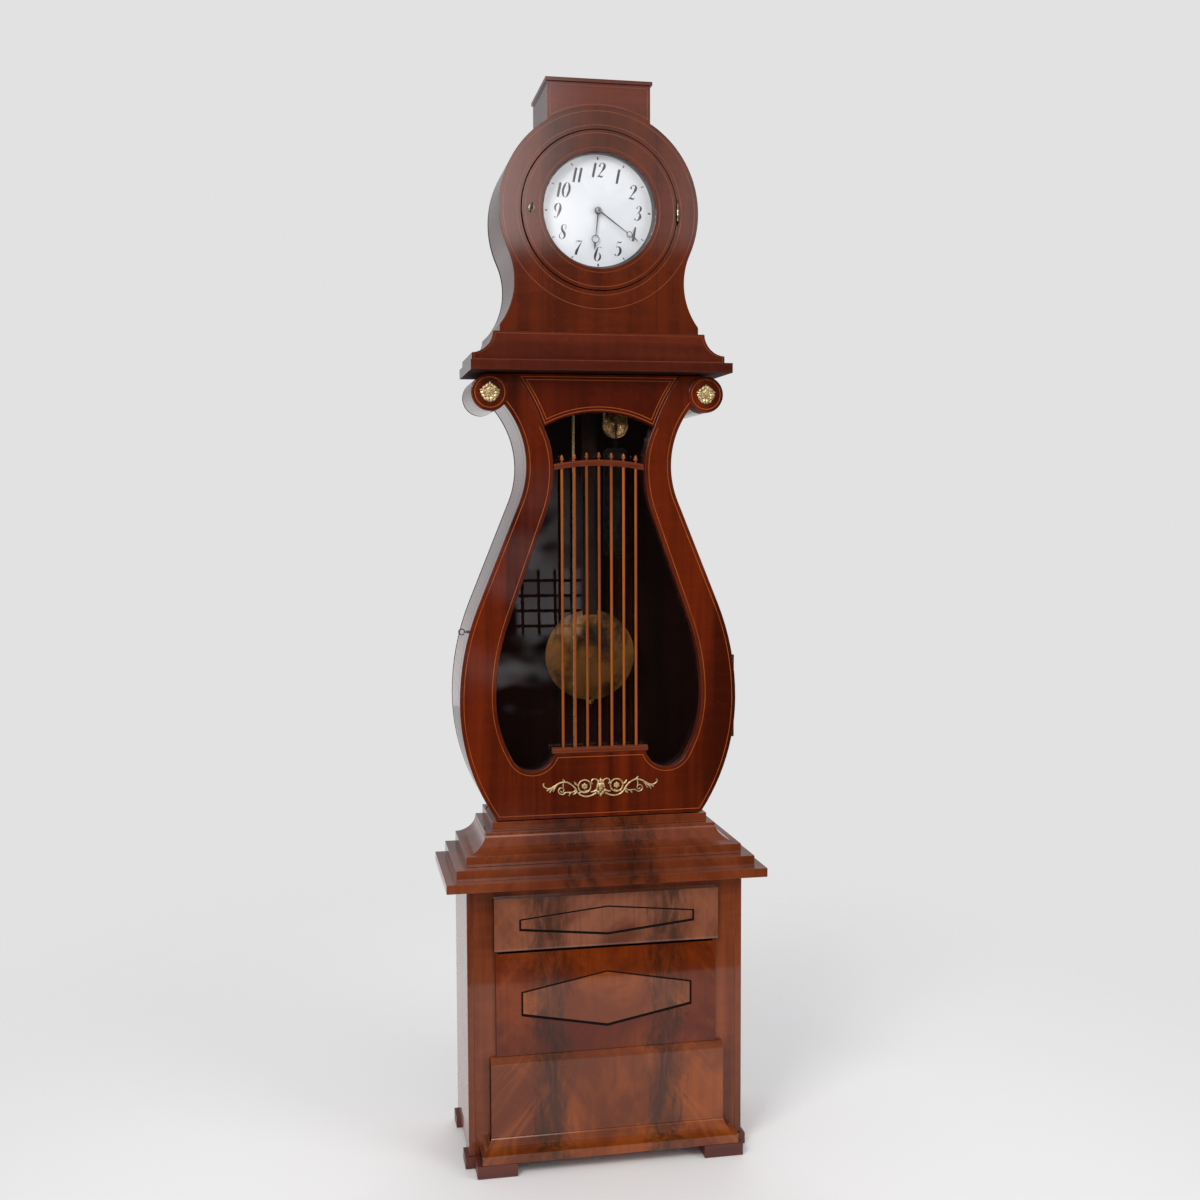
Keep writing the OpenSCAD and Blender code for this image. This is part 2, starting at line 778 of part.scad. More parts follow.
// Side of a board with an upright foot, a hollow and an upright face above it
function flare_side(out, up, fillet_h, hollow_h, top) =
  let (run = out - up)
  concat(
    [[out, 0], [out, fillet_h]],
    [for (a = [arc_step * 3:arc_step * 3:90])
      [out - run * sin(a), fillet_h + hollow_h * (1 - cos(a))]],
    top > fillet_h + hollow_h ? [[up, top]] : []);

module plinth_panel() {
  top = middle_z - plinth_z;
  back = base_depth;
  color(flame_wood) intersection() {
    translate([-flare_half_w - 1, face(back), plinth_z]) rotate([90, 0, 90])
      linear_extrude(2 * flare_half_w + 2) mirror([1, 0]) polygon(concat(
        [[0, 0]],
        flare_side(flare_depth - back, plinth_depth - back, flare_fillet_h, flare_h,
          top - plinth_bevel_h),
        [[plinth_depth - back - plinth_bevel_d, top], [0, top]]));
    translate([0, face(back) + 1, plinth_z]) rotate([90, 0, 0])
      linear_extrude(flare_depth - back + 2)
        polygon(both_halves(
          flare_side(flare_half_w, plinth_half_w, flare_fillet_h, flare_h, top)));
  }
}

// Cornice
module well(z, h) {
  mid_box(well_half_w, well_depth, well_depth - well_l, z, h);
}

module cornice_boards() {
  color(mahogany) difference() {
    union() {
      mid_box(slab_half_w, slab_depth, 0, base_top, slab_h);
      mid_box(step_half_w, step_depth, 0, step_z, step_h);
    }
    well(base_top - 1, slab_h + step_h + 2);
  }
}

module cove_moulding() {
  top = cove_fillet_h + cove_h;
  color(mahogany) difference() {
    intersection() {
      translate([-cove_half_w - 1, back_y, cove_z]) rotate([90, 0, 90])
        linear_extrude(2 * cove_half_w + 2) mirror([1, 0]) polygon(concat(
          [[0, 0]],
          flare_side(cove_depth, cove_top_depth, cove_fillet_h, cove_h, top),
          [[0, top]]));
      translate([0, back_y + 1, cove_z]) rotate([90, 0, 0])
        linear_extrude(cove_depth + 2)
          polygon(both_halves(
            flare_side(cove_half_w, cove_top_half_w, cove_fillet_h, cove_h, top)));
    }
    well(cove_z - 1, top + 2);
  }
}

module trunk_plinth() {
  color(mahogany) difference() {
    mid_box(trunk_plinth_half_w, trunk_plinth_depth, 0, trunk_plinth_z, trunk_plinth_h);
    well(trunk_plinth_z - 1, trunk_plinth_h + 2);
  }
}

// Lyre
belly_low_c = [belly_x - belly_low_r, belly_z];
belly_up_c = [belly_x - belly_up_r, belly_z];
waist_c = [waist_x + waist_r, waist_z];
scroll_c = [scroll_x, scroll_z];
lyre_slope = tangent_slope(belly_up_c, belly_up_r, waist_c, waist_r);

// Angle at which the waist's circle, spread by a distance, meets the scroll
function waist_end(by) =
  let (
    d = scroll_c - waist_c,
    l = norm(d),
    r = waist_r + by
  )
  atan2(d[1], d[0]) + acos((l * l + r * r - scroll_r * scroll_r) / (2 * l * r));

// Right side of the lyre up to the scroll, drawn in by a distance
function lyre_side(foot, by, end) = concat(
  arc(belly_low_c, belly_low_r - by, asin((foot - belly_z) / (belly_low_r - by)), 0),
  arc(belly_up_c, belly_up_r - by, 0, lyre_slope),
  arc(waist_c, waist_r + by, 180 + lyre_slope, end));

function lyre_outline(foot, top) =
  let (
    side = lyre_side(foot, 0, waist_end(0)),
    meet = side[len(side) - 1] - scroll_c,
    start = atan2(meet[1], meet[0]) + 360
  )
  both_halves(concat(side, arc(scroll_c, scroll_r, start + arc_step, 450, arc_step * 2),
    top > lyre_top ? [[scroll_x, top]] : []));

// The hollow inside the trunk's walls
function trunk_hollow(foot, top) =
  let (
    neck = acos((waist_c[0] - neck_in_x) / (waist_r + trunk_wall)),
    side = lyre_side(foot, trunk_wall, 180 - neck)
  )
  both_halves(concat(side, [[neck_in_x, top]]));

// Glass opening
open_belly_z = trunk_z + open_belly_rise;
open_up_c = [open_belly_x - open_up_r, open_belly_z];
open_low_c = [open_belly_x - open_low_r, open_belly_z];
open_waist_z = trunk_z + open_waist_rise;
open_waist_low_c = [open_waist_x + open_waist_low_r, open_waist_z];
open_waist_up_c = [open_waist_x + open_waist_up_r, open_waist_z];
open_slope = tangent_slope(open_up_c, open_up_r, open_waist_low_c, open_waist_low_r);
lobe_z = trunk_z + lobe_rise;
tongue_z = trunk_z + tongue_rise;
crest_z = trunk_z + crest_rise;

// Radius of the lobe that touches the belly's lower arc from inside and the lobe's foot
lobe_r =
  let (dx = lobe_x - open_low_c[0], dz = open_belly_z - lobe_z)
  (open_low_r * open_low_r - dx * dx - dz * dz) / (2 * (open_low_r - dz));
lobe_c = [lobe_x, lobe_z + lobe_r];
lobe_end = atan2(lobe_c[1] - open_low_c[1], lobe_c[0] - open_low_c[0]);

crest_corner_x = open_waist_up_c[0] - sqrt(open_waist_up_r * open_waist_up_r
  - (crest_z - open_waist_z) * (crest_z - open_waist_z));
arch_drop = 15;
arch_c = [0, crest_z - sqrt(arch_r * arch_r - crest_corner_x * crest_corner_x)];

// Right side of the glass opening up to the crest, spread by a distance
function opening_side(by) =
  let (
    foot = tongue_z - by,
    start = 180 + asin((lobe_c[1] - foot) / (lobe_r + by)),
    rise = asin((crest_z - open_waist_z) / (open_waist_up_r - by))
  )
  concat(
    arc(lobe_c, lobe_r + by, start, 360 + lobe_end, arc_step * 2),
    arc(open_low_c, open_low_r + by, lobe_end, 0),
    arc(open_up_c, open_up_r + by, 0, open_slope),
    arc(open_waist_low_c, open_waist_low_r - by, 180 + open_slope, 180),
    arc(open_waist_up_c, open_waist_up_r - by, 180, 180 - rise));

// Right side of the crest, drawn in by a distance
function crest_side(by) =
  arc_between([crest_corner_x - by, crest_z], [crest_top_x - by, lyre_top], crest_side_r);

// Everything between the arms: the glass opening and the crest's place
function between_arms(by, top) =
  both_halves(concat(opening_side(by), crest_side(-by), [[crest_top_x + by, top]]));

// The glass opening with the arch over it, spread by a distance
function glass_outline(by) =
  both_halves(concat(
    opening_side(by),
    arc(arch_c, arch_r + by, 90 - asin(crest_corner_x / (arch_r + by)), 90)));

// Half width of the lyre at a height above its widest place
function lyre_x(z) = belly_up_c[0] + sqrt(belly_up_r * belly_up_r - (z - belly_z) * (z - belly_z));

// The crest, drawn in at its sides and arch and by another distance on top
module crest_shape(by, top_by = 0) {
  difference() {
    polygon(both_halves(concat([[crest_corner_x - arch_drop, crest_z - 2 * arch_drop]],
      crest_side(by))));
    translate(arch_c) circle(r = arch_r + by);
    translate([-crest_top_x, lyre_top - top_by]) square(2 * crest_top_x);
  }
}

// Hinges
// A leaf's shallow seat in the carcase (side 1) or the door's back (side -1)
module trunk_leaf_seat(z, side) {
  t = leaf_seat + door_back_gap / 2;
  translate([trunk_pin_x - leaf_w - seat_gap, trunk_pin_y - (side > 0 ? 0 : t), z - leaf_h / 2])
    cube([2 * leaf_w, t, leaf_h]);
}

// Knuckles on an upright pin; the list says which thirds they take
module knuckles(x, y, z, r, h, thirds) {
  for (i = thirds)
    translate([x, y, z + (i - 1.5) * h / 3 + seat_gap / 2]) cylinder(r = r, h = h / 3 - seat_gap);
}

// A leaf that follows the lyre's edge, with a tab to each of its knuckles
module trunk_leaf(z, side, thirds) {
  t = leaf_seat + door_back_gap / 2;
  y = trunk_pin_y + (side > 0 ? t - leaf_t : -t);
  translate([0, y + leaf_t, 0]) rotate([90, 0, 0]) linear_extrude(leaf_t) difference() {
    intersection() {
      translate([trunk_pin_x - leaf_w, z - leaf_h / 2 + seat_gap / 2])
        square([leaf_w, leaf_h - seat_gap]);
      polygon(both_halves(lyre_side(lyre_z, seat_gap, waist_end(0))));
    }
    if (side > 0) polygon(trunk_hollow(lyre_z, lyre_top));
  }
  for (i = thirds)
    translate([trunk_pin_x - leaf_w / 2 - pin_out, y, z + (i - 1.5) * leaf_h / 3 + seat_gap / 2])
      cube([leaf_w / 2 + pin_out, leaf_t, leaf_h / 3 - seat_gap]);
  knuckles(trunk_pin_x, trunk_pin_y, z, knuckle_r, leaf_h, thirds);
}

// A leaf of the head door's hinge, beside its pin
module head_leaf(x, thirds) {
  translate([x, head_pin_y + head_knuckle_r, head_centre - head_leaf_h / 2 + seat_gap / 2])
    cube([head_leaf_t, head_leaf_l - head_knuckle_r, head_leaf_h - seat_gap]);
  for (i = thirds)
    translate([x, head_pin_y, head_centre + (i - 1.5) * head_leaf_h / 3 + seat_gap / 2])
      cube([head_leaf_t, head_leaf_l, head_leaf_h / 3 - seat_gap]);
  knuckles(head_pin_x, head_pin_y, head_centre, head_knuckle_r, head_leaf_h, thirds);
}

module hinge_pin(x, y, z, r, h) {
  translate([x, y, z - h / 2]) cylinder(r = r, h = h);
}

module case_hinge_leaves() {
  color(brass) {
    for (z = trunk_hinge_z) {
      trunk_leaf(z, 1, [0, 2]);
      hinge_pin(trunk_pin_x, trunk_pin_y, z, pin_r, leaf_h - seat_gap);
    }
    head_leaf(head_pin_x + head_knuckle_r - head_leaf_t, [0, 2]);
    hinge_pin(head_pin_x, head_pin_y, head_centre, pin_r, head_leaf_h - seat_gap);
  }
}

module trunk_door_hinge_leaves() {
  color(brass) for (z = trunk_hinge_z) difference() {
    trunk_leaf(z, -1, [1]);
    hinge_pin(trunk_pin_x, trunk_pin_y, z, pin_r + run_gap, leaf_h);
  }
}

module head_door_fittings() {
  color(brass) {
    difference() {
      head_leaf(head_pin_x - head_knuckle_r, [1]);
      hinge_pin(head_pin_x, head_pin_y, head_centre, pin_r + run_gap, head_leaf_h);
    }
    difference() {
      bar_y(-head_key_x, head_centre, 3 * key_r, ring_depth + key_r / 2, ring_depth);
      bar_y(-head_key_x, head_centre, key_r + seat_gap, ring_depth + 3, ring_depth - 1);
    }
  }
}

// Lyre carcase
module trunk_sides() {
  color(mahogany) difference() {
    upright(carcase_depth, carcase_depth - board_t)
      polygon(lyre_outline(trunk_z, head_slab_z));
    upright(carcase_depth + 1, carcase_depth - board_t + 2)
      polygon(trunk_hollow(trunk_z - 1, head_slab_z + 1));
    for (z = trunk_hinge_z) trunk_leaf_seat(z, 1);
  }
}

module upper_back_boards() {
  color(dark_wood) {
    upright(board_t, board_t) polygon(lyre_outline(trunk_z, head_slab_z));
    upright(board_t, board_t) polygon(head_outline(0));
  }
}

// Lyre door
module trunk_door_frame() {
  color(mahogany) difference() {
    upright(trunk_depth, trunk_door_t) polygon(lyre_outline(lyre_z, lyre_top));
    upright(trunk_depth + 1, trunk_door_t + 2) polygon(between_arms(0, lyre_top + 1));
    upright(door_back_depth + glass_rebate_d, glass_rebate_d + 1)
      polygon(glass_outline(glass_rebate));
    for (z = trunk_hinge_z) trunk_leaf_seat(z, -1);
    translate([-lyre_x(trunk_key_z) - key_in / 2, face(trunk_key_depth), trunk_key_z])
      rotate([0, 90, 0]) cylinder(r = key_r + seat_gap, h = 1.5 * key_in + 1);
  }
}

module trunk_door_crest() {
  color(mahogany) difference() {
    union() {
      upright(trunk_depth - crest_groove_d, trunk_door_t - crest_groove_d)
        crest_shape(seat_gap);
      upright(trunk_depth, crest_groove_d) crest_shape(crest_groove);
    }
    upright(door_back_depth + glass_rebate_d, glass_rebate_d + 1)
      polygon(glass_outline(glass_rebate));
  }
}

module trunk_door_glass() {
  color([0.6, 0.65, 0.65, 0.3])
    upright(door_back_depth + glass_rebate_d, glass_t)
      polygon(glass_outline(glass_rebate - seat_gap));
}

// The lyre's outline, drawn in by a distance, as far as its scrolls
function arms_outline(by) =
  both_halves(concat(lyre_side(lyre_z + by, by, waist_end(by)), [scroll_c]));

module trunk_door_stringing() {
  near = inlay_edge;
  far = inlay_edge + inlay_w;
  color(line_wood) {
    upright(trunk_depth + inlay_t, inlay_t) {
      difference() {
        polygon(arms_outline(near));
        polygon(arms_outline(far));
        polygon(between_arms(near, lyre_top + 1));
        both_sides() translate(scroll_c) circle(r = scroll_r);
      }
      difference() {
        polygon(between_arms(far, lyre_top + 1));
        polygon(between_arms(near, lyre_top + 2));
        translate([-slab_half_w, crest_z]) square(2 * slab_half_w);
      }
      for (by = [crest_groove + inlay_pair / 2, crest_groove + inlay_pair * 3 / 2])
        difference() {
          crest_shape(by, by);
          crest_shape(by + inlay_w, by + inlay_w);
        }
    }
    both_sides() ring_line(scroll_x, scroll_z, scroll_line_r, trunk_depth + scroll_proud);
  }
}

module scroll_discs() {
  color(mahogany) both_sides()
    bar_y(scroll_x, scroll_z, scroll_r - 1, trunk_depth + scroll_proud, trunk_depth);
}

// Gilt mounts
// A curved strip of width w round an arc's middle line
function band(c, r, w, a0, a1) = concat(
  arc(c, r + w / 2, a0, a1, 15),
  arc(c, r - w / 2, a1, a0, 15));

// One layer of a rosette: petals of radius pr round a disc of radius dr
module petals(pr, dr, turn, at) {
  circle(r = dr);
  for (i = [0:petal_count - 1])
    rotate(i * 360 / petal_count + turn) translate([0, at]) circle(r = pr);
}

module rosette() {
  linear_extrude(gilt_t / 2) {
    petals(rose_r * 0.22, rose_r * 0.5, 0, rose_r * 0.78);
    petals(rose_r * 0.4, rose_r * 0.5, 180 / petal_count, rose_r * 0.57);
  }
  linear_extrude(gilt_t) petals(rose_r * 0.33, rose_r * 0.45, 180 / petal_count, rose_r * 0.57);
  cylinder(r = rose_r * 0.26, h = gilt_t * 1.5);
}

// Right half of the mount: two scrolls, a flower, a stem and a fan
module mount_half() {
  linear_extrude(gilt_t) {
    translate([big_scroll_x, 0]) {
      difference() {
        circle(r = big_scroll_r);
        circle(r = big_scroll_r - stem_w);
      }
      petals(big_scroll_r * 0.2, big_scroll_r * 0.2, 0, big_scroll_r * 0.31);
    }
    translate([small_scroll_x, 4]) difference() {
      circle(r = small_scroll_r);
      circle(r = small_scroll_r - stem_w);
    }
    polygon(band([(big_scroll_x + small_scroll_x) / 2, 20], 23, stem_w, 225, 318));
    polygon(band([small_scroll_x + 24, -14], 20, stem_w, 40, 140));
    polygon(band([small_scroll_x + 10, -20], 24, stem_w, 20, 110));
    for (a = [20:25:95])
      translate([mount_half_w - 22, -1]) rotate(a)
        polygon([[0, -stem_w / 2], [18, -stem_w], [22, 0], [18, stem_w], [0, stem_w / 2]]);
  }
  translate([big_scroll_x, 0, 0]) cylinder(r = big_scroll_r * 0.12, h = gilt_t * 1.3);
}

module gilt_mounts() {
  color(brass) {
    both_sides() translate([scroll_x, face(trunk_depth + scroll_proud), scroll_z])
      rotate([90, 0, 0]) rosette();
    translate([0, face(trunk_depth), mount_z]) rotate([90, 0, 0]) {
      both_sides() mount_half();
      linear_extrude(gilt_t * 1.3)
        polygon([[0, -19], [7, -12], [5, -4], [9, 4], [5, 9], [7, 16], [0, 21],
          [-7, 16], [-5, 9], [-9, 4], [-5, -4], [-7, -12]]);
    }
  }
}

// Strings
module lyre_bridge() {
  color(mahogany)
    translate([-bridge_half_w, face(string_depth), tongue_z]) rotate([90, 0, 90])
      linear_extrude(2 * bridge_half_w) polygon([
        [-bridge_w / 2 + 2, 0], [bridge_w / 2, 0], [bridge_w / 2, bridge_h],
        [-bridge_w / 2 + 3, bridge_h], [-bridge_w / 2, bridge_h - 3], [-bridge_w / 2, 3]]);
}

crossbar_arc_r = (open_waist_x * open_waist_x + crossbar_bow * crossbar_bow) / (2 * crossbar_bow);
crossbar_c = [0, trunk_z + crossbar_rise - crossbar_arc_r];

// Height of the crossbar's surface at x
function crossbar_z(x, off) = crossbar_c[1] + sqrt(pow(crossbar_arc_r + off, 2) - x * x);

module lyre_crossbar() {
  a = asin(open_waist_x / crossbar_arc_r) + 2;
  color(mahogany) intersection() {
    upright(string_depth + crossbar_w / 2, crossbar_w)
      polygon(concat(
        arc(crossbar_c, crossbar_arc_r + crossbar_h / 2, 90 - a, 90 + a, 1),
        arc(crossbar_c, crossbar_arc_r - crossbar_h / 2, 90 + a, 90 - a, 1)));
    mid_box(open_waist_x - seat_gap, string_depth + crossbar_w, string_depth - crossbar_w,
      crossbar_c[1] + crossbar_arc_r - 10 * crossbar_bow, 20 * crossbar_bow);
  }
}

module finial() {
  rotate_extrude() polygon([
    [0, 0], [finial_r * 0.65, 0], [finial_r * 0.65, finial_h * 0.12],
    [finial_r * 0.45, finial_h * 0.22], [finial_r * 0.95, finial_h * 0.35],
    [finial_r, finial_h * 0.5], [finial_r * 0.8, finial_h * 0.68],
    [finial_r * 0.35, finial_h * 0.88], [0, finial_h]]);
}

module lyre_strings() {
  foot = tongue_z + bridge_h;
  color(line_wood)
    for (i = [0:string_count - 1]) {
      x = (i - (string_count - 1) / 2) * string_pitch;
      top = crossbar_z(abs(x) + string_r, -crossbar_h / 2) - 0.1;
      translate([x, face(string_depth), foot]) cylinder(r = string_r, h = top - foot);
      translate([x, face(string_depth), crossbar_z(max(0, abs(x) - string_r), crossbar_h / 2) + 0.1])
        finial();
    }
}

// Keys
module key() {
  translate([0, 0, -key_in]) cylinder(r = key_r, h = key_in + key_out);
  translate([0, 0, 0.7 * key_r]) cylinder(r = 1.5 * key_r, h = key_r);
  translate([0, 0, key_out + key_bow_r]) rotate([90, 0, 0])
    rotate_extrude() translate([key_bow_r, 0]) circle(r = key_wire_r);
}

module trunk_key() {
  color(steel) translate([-lyre_x(trunk_key_z), face(trunk_key_depth), trunk_key_z])
    rotate([0, -90, 0]) key();
}

module head_key() {
  color(steel) translate([-head_key_x, face(ring_depth), head_centre])
    rotate([90, 0, 0]) rotate([0, 0, 90]) key();
}

// Head
head_hollow_r = (head_waist_x * head_waist_x + pow(head_centre - head_waist_z, 2) - head_r * head_r)
  / (2 * (head_r - head_waist_x));
head_hollow_c = [head_waist_x + head_hollow_r, head_waist_z];
head_turn = atan2(head_centre - head_hollow_c[1], -head_hollow_c[0]);

// Right side of the head, drawn in by a distance
function head_side(by, foot) =
  let (low = acos((head_hollow_c[0] - head_half_w + by) / (head_hollow_r + by)))
  concat(
    [[head_half_w - by, foot]],
    arc(head_hollow_c, head_hollow_r + by, 180 + low, head_turn),
    arc([0, head_centre], head_r - by, head_turn - 180 + arc_step, 90));

function head_outline(by, foot = head_z) = both_halves(head_side(by, foot));

module head_slab() {
  color(mahogany) difference() {
    mid_box(head_slab_half_w, head_slab_depth, 0, head_slab_z, head_slab_h);
    well(head_slab_z - 1, head_slab_h + 2);
  }
}

function head_plinth_outline(by) =
  let (
    low = [head_plinth_half_w - by, head_plinth_z + head_plinth_fillet - by / 3],
    high = [head_plinth_top_half_w - by, head_z - by],
    r = norm(high - low) * 0.74
  )
  both_halves(concat([[low[0], head_plinth_z + by]], arc_between(low, high, r)));

module head_plinth() {
  color(mahogany) difference() {
    upright(head_depth, head_depth) polygon(head_plinth_outline(0));
    well(head_plinth_z - 1, head_plinth_h + 2);
  }
}

module head_front_board() {
  color(mahogany) difference() {
    upright(head_depth, head_board_t) polygon(head_outline(0));
    bar_y(0, head_centre, ring_r + ring_gap, head_depth + 1, head_depth - head_board_t - 1);
    translate([head_pin_x, head_pin_y, head_centre - head_leaf_h / 2])
      cube([knuckle_r + seat_gap / 2, head_leaf_l + seat_gap, head_leaf_h]);
  }
}

module head_sides() {
  t = head_depth - head_board_t - board_t;
  color(mahogany) {
    difference() {
      upright(head_depth - head_board_t, t) polygon(head_outline(0));
      upright(head_depth - head_board_t + 1, t + 2) polygon(head_outline(head_wall, head_z - 1));
    }
    both_sides() translate([cleat_x, face(seat_depth), seat_z - cleat_h])
      cube([cleat_w + head_wall / 2, seat_l, cleat_h]);
  }
}

module top_box() {
  foot = head_centre + sqrt(head_r * head_r - box_half_w * box_half_w) - 5;
  color(mahogany) {
    difference() {
      mid_box(box_half_w, box_depth, 0, foot, box_top - foot);
      bar_y(0, head_centre, head_r + eps, box_depth + 1, -1);
    }
    mid_box(box_half_w + cap_over, box_depth + cap_over, 0, box_top - eps, cap_h + eps);
  }
}

module ring_line(x, z, r, depth) {
  difference() {
    bar_y(x, z, r, depth + inlay_t, depth);
    bar_y(x, z, r - inlay_w, depth + 1, depth - 1);
  }
}

module box_frame(by) {
  difference() {
    translate([-box_half_w + by, head_centre])
      square([2 * (box_half_w - by), box_top - by - head_centre]);
    translate([0, head_centre]) circle(r = head_r + by);
  }
}

module head_stringing() {
  color(line_wood) {
    ring_line(0, head_centre, head_r - inlay_edge, head_depth);
    ring_line(0, head_centre, ring_r + inlay_edge + ring_gap * 2, head_depth);
    upright(head_depth + inlay_t, inlay_t) difference() {
      polygon(head_plinth_outline(inlay_edge / 2));
      polygon(head_plinth_outline(inlay_edge / 2 + inlay_w));
    }
    upright(box_depth + inlay_t, inlay_t) difference() {
      box_frame(inlay_edge * 0.7);
      box_frame(inlay_edge * 0.7 + inlay_w);
    }
  }
}

// Head door
module head_door_ring() {
  color(mahogany) difference() {
    bar_y(0, head_centre, ring_r, ring_depth, ring_depth - ring_t);
    bar_y(0, head_centre, ring_open_r, ring_depth + 1, ring_depth - ring_t - 1);
    bar_y(0, head_centre, ring_open_r + ring_rebate, ring_depth - ring_glass_in,
      ring_depth - ring_t - 1);
    bar_y(-head_key_x, head_centre, key_r + seat_gap, ring_depth + 1, ring_depth - ring_t - 1);
    translate([head_pin_x - knuckle_r - seat_gap / 2, head_pin_y, head_centre - head_leaf_h / 2])
      cube([2 * knuckle_r, head_leaf_l + seat_gap, head_leaf_h]);
  }
}

module head_door_glass() {
  color([0.7, 0.75, 0.75, 0.3])
    bar_y(0, head_centre, ring_open_r + ring_rebate - seat_gap, ring_depth - ring_glass_in,
      ring_depth - ring_glass_in - ring_glass_t);
}

module head_door_stringing() {
  color(line_wood) {
    ring_line(0, head_centre, ring_r - inlay_edge + inlay_w, ring_depth);
    ring_line(0, head_centre, ring_open_r + inlay_edge + inlay_w, ring_depth);
  }
}

// Dial
module dial() {
  color("white") {
    difference() {
      bar_y(0, dial_z, dial_r, dial_depth, dial_depth - dial_t);
      bar_y(0, dial_z, hour_pipe_r + 0.5, dial_depth + 1, dial_depth - dial_t - 1);
    }
    for (a = [45, 165, 285])
      bar_y(dial_foot_at * cos(a), dial_z + dial_foot_at * sin(a), dial_foot_r,
        dial_depth - dial_t, front_plate_depth);
  }
}

module dial_mask() {
  color([0.45, 0.47, 0.50]) difference() {
    bar_y(0, head_centre, mask_out_r, dial_depth + mask_t, dial_depth);
    bar_y(0, dial_z, mask_r, dial_depth + mask_t + 1, dial_depth - 1);
  }
}

// A hand with a ring near its tip, drawn upright round its arbor
module hand(ring_at, r, len, boss_r, bore_r) {
  difference() {
    union() {
      circle(r = boss_r);
      polygon([
        [-hand_w / 2, 0], [hand_w / 2, 0],
        [hand_w / 4, ring_at - r + 1], [-hand_w / 4, ring_at - r + 1]]);
      translate([0, ring_at]) circle(r = r);
      polygon([[-hand_w, ring_at + r - 1], [hand_w, ring_at + r - 1], [0, len]]);
    }
    circle(r = bore_r);
    translate([0, ring_at]) circle(r = r - hand_w / 2);
  }
}

module hour_hand() {
  color(steel) translate([0, face(hour_hand_depth), dial_z]) rotate([90, 0, 0]) rotate(-hour_angle)
    linear_extrude(hand_t)
      hand(hour_ring_at, hour_ring_r, hour_len, hour_boss_r, hour_pipe_r + run_gap);
}

module minute_hand() {
  color(steel) translate([0, face(minute_hand_depth), dial_z]) rotate([90, 0, 0]) rotate(-minute_angle)
    linear_extrude(hand_t)
      hand(minute_ring_at, minute_ring_r, minute_len, minute_boss_r, cannon_pipe_r + run_gap);
}

// Movement
// Outline of a toothed wheel with straight-sided teeth
function wheel_points(teeth, m, turn) =
  let (pitch = 360 / teeth, root = m * (teeth / 2 - 1.2), tip = m * (teeth / 2 + 0.8))
  [for (i = [0:teeth - 1], q = [[root, -0.27], [tip, -0.11], [tip, 0.11], [root, 0.27]])
    let (a = turn + (i + q[1]) * pitch) q[0] * [cos(a), sin(a)]];

// The four openings that leave a hub, a rim and four spokes
module crossings(hub, rim) {
  for (a = [45:90:315])
    polygon(band([0, 0], (hub + rim) / 2, rim - hub, a - crossing_a, a + crossing_a));
}

module crossed_wheel(teeth, m, turn, hub) {
  root = m * (teeth / 2 - 1.2);
  rim = root - max(2, 2 * m);
  difference() {
    polygon(wheel_points(teeth, m, turn));
    crossings(hub, rim);
  }
}

module on_arbor(at, depth, t) {
  translate([at[0], face(depth - t), at[1]]) rotate([90, 0, 0]) linear_extrude(t) children();
}

// An arbor with a pivot in each plate
module arbor(at, r = arbor_r) {
  bar_y(at[0], at[1], r, front_plate_depth - plate_t - shake, back_plate_depth + shake);
  bar_y(at[0], at[1], pivot_r, front_plate_depth, back_plate_depth - plate_t);
}

module great_wheel() {
  side = groove_half_w + flange_t;
  color(brass) {
    on_arbor(great_at, great_depth, great_t)
      crossed_wheel(great_teeth, great_module, great_turn, great_hub_r);
    bar_y(great_at[0], great_at[1], sheave_r - rope_r - seat_gap, rope_depth + side, rope_depth - side);
    for (d = [rope_depth + side, rope_depth - groove_half_w])
      bar_y(great_at[0], great_at[1], sheave_r + rope_r, d, d - flange_t);
    bar_y(great_at[0], great_at[1], great_hub_r / 2, great_depth + great_t / 2, rope_depth);
    arbor(great_at);
  }
}

module centre_wheel() {
  color(brass) {
    on_arbor(centre_at, centre_depth, wheel_t)
      crossed_wheel(centre_teeth, train_module, centre_turn, hub_r);
    on_arbor(centre_at, great_depth + great_t, pinion_l + 1)
      polygon(wheel_points(centre_leaves, great_module, great_turn + 180 + 180 / centre_leaves));
    arbor(centre_at);
    bar_y(0, dial_z, pivot_r, minute_hand_depth + hand_t + 3, front_plate_depth - 1);
  }
}

module third_wheel() {
  color(brass) {
    on_arbor(third_at, third_depth, wheel_t)
      crossed_wheel(third_teeth, third_module, third_turn, hub_r);
    on_arbor(third_at, centre_depth + wheel_t, pinion_l)
      polygon(wheel_points(train_leaves, train_module, centre_turn + 180 + 180 / train_leaves));
    arbor(third_at, 0.8 * arbor_r);
  }
}

module escape_wheel() {
  pitch = 360 / escape_teeth;
  root = escape_r - tooth_l;
  color(brass) {
    on_arbor(escape_at, escape_depth, wheel_t) difference() {
      polygon([
        for (i = [0:escape_teeth - 1])
        for (q = [[root, -0.08], [escape_r, 0], [escape_r, 0.1], [root, 0.5]])
        let (a = (i + q[1]) * pitch) q[0] * [cos(a), sin(a)]]);
      crossings(hub_r / 2, root - tooth_l);
    }
    on_arbor(escape_at, third_depth + wheel_t, pinion_l)
      polygon(wheel_points(train_leaves, third_module, third_turn + 180 + 180 / train_leaves));
    arbor(escape_at, 0.7 * arbor_r);
  }
}

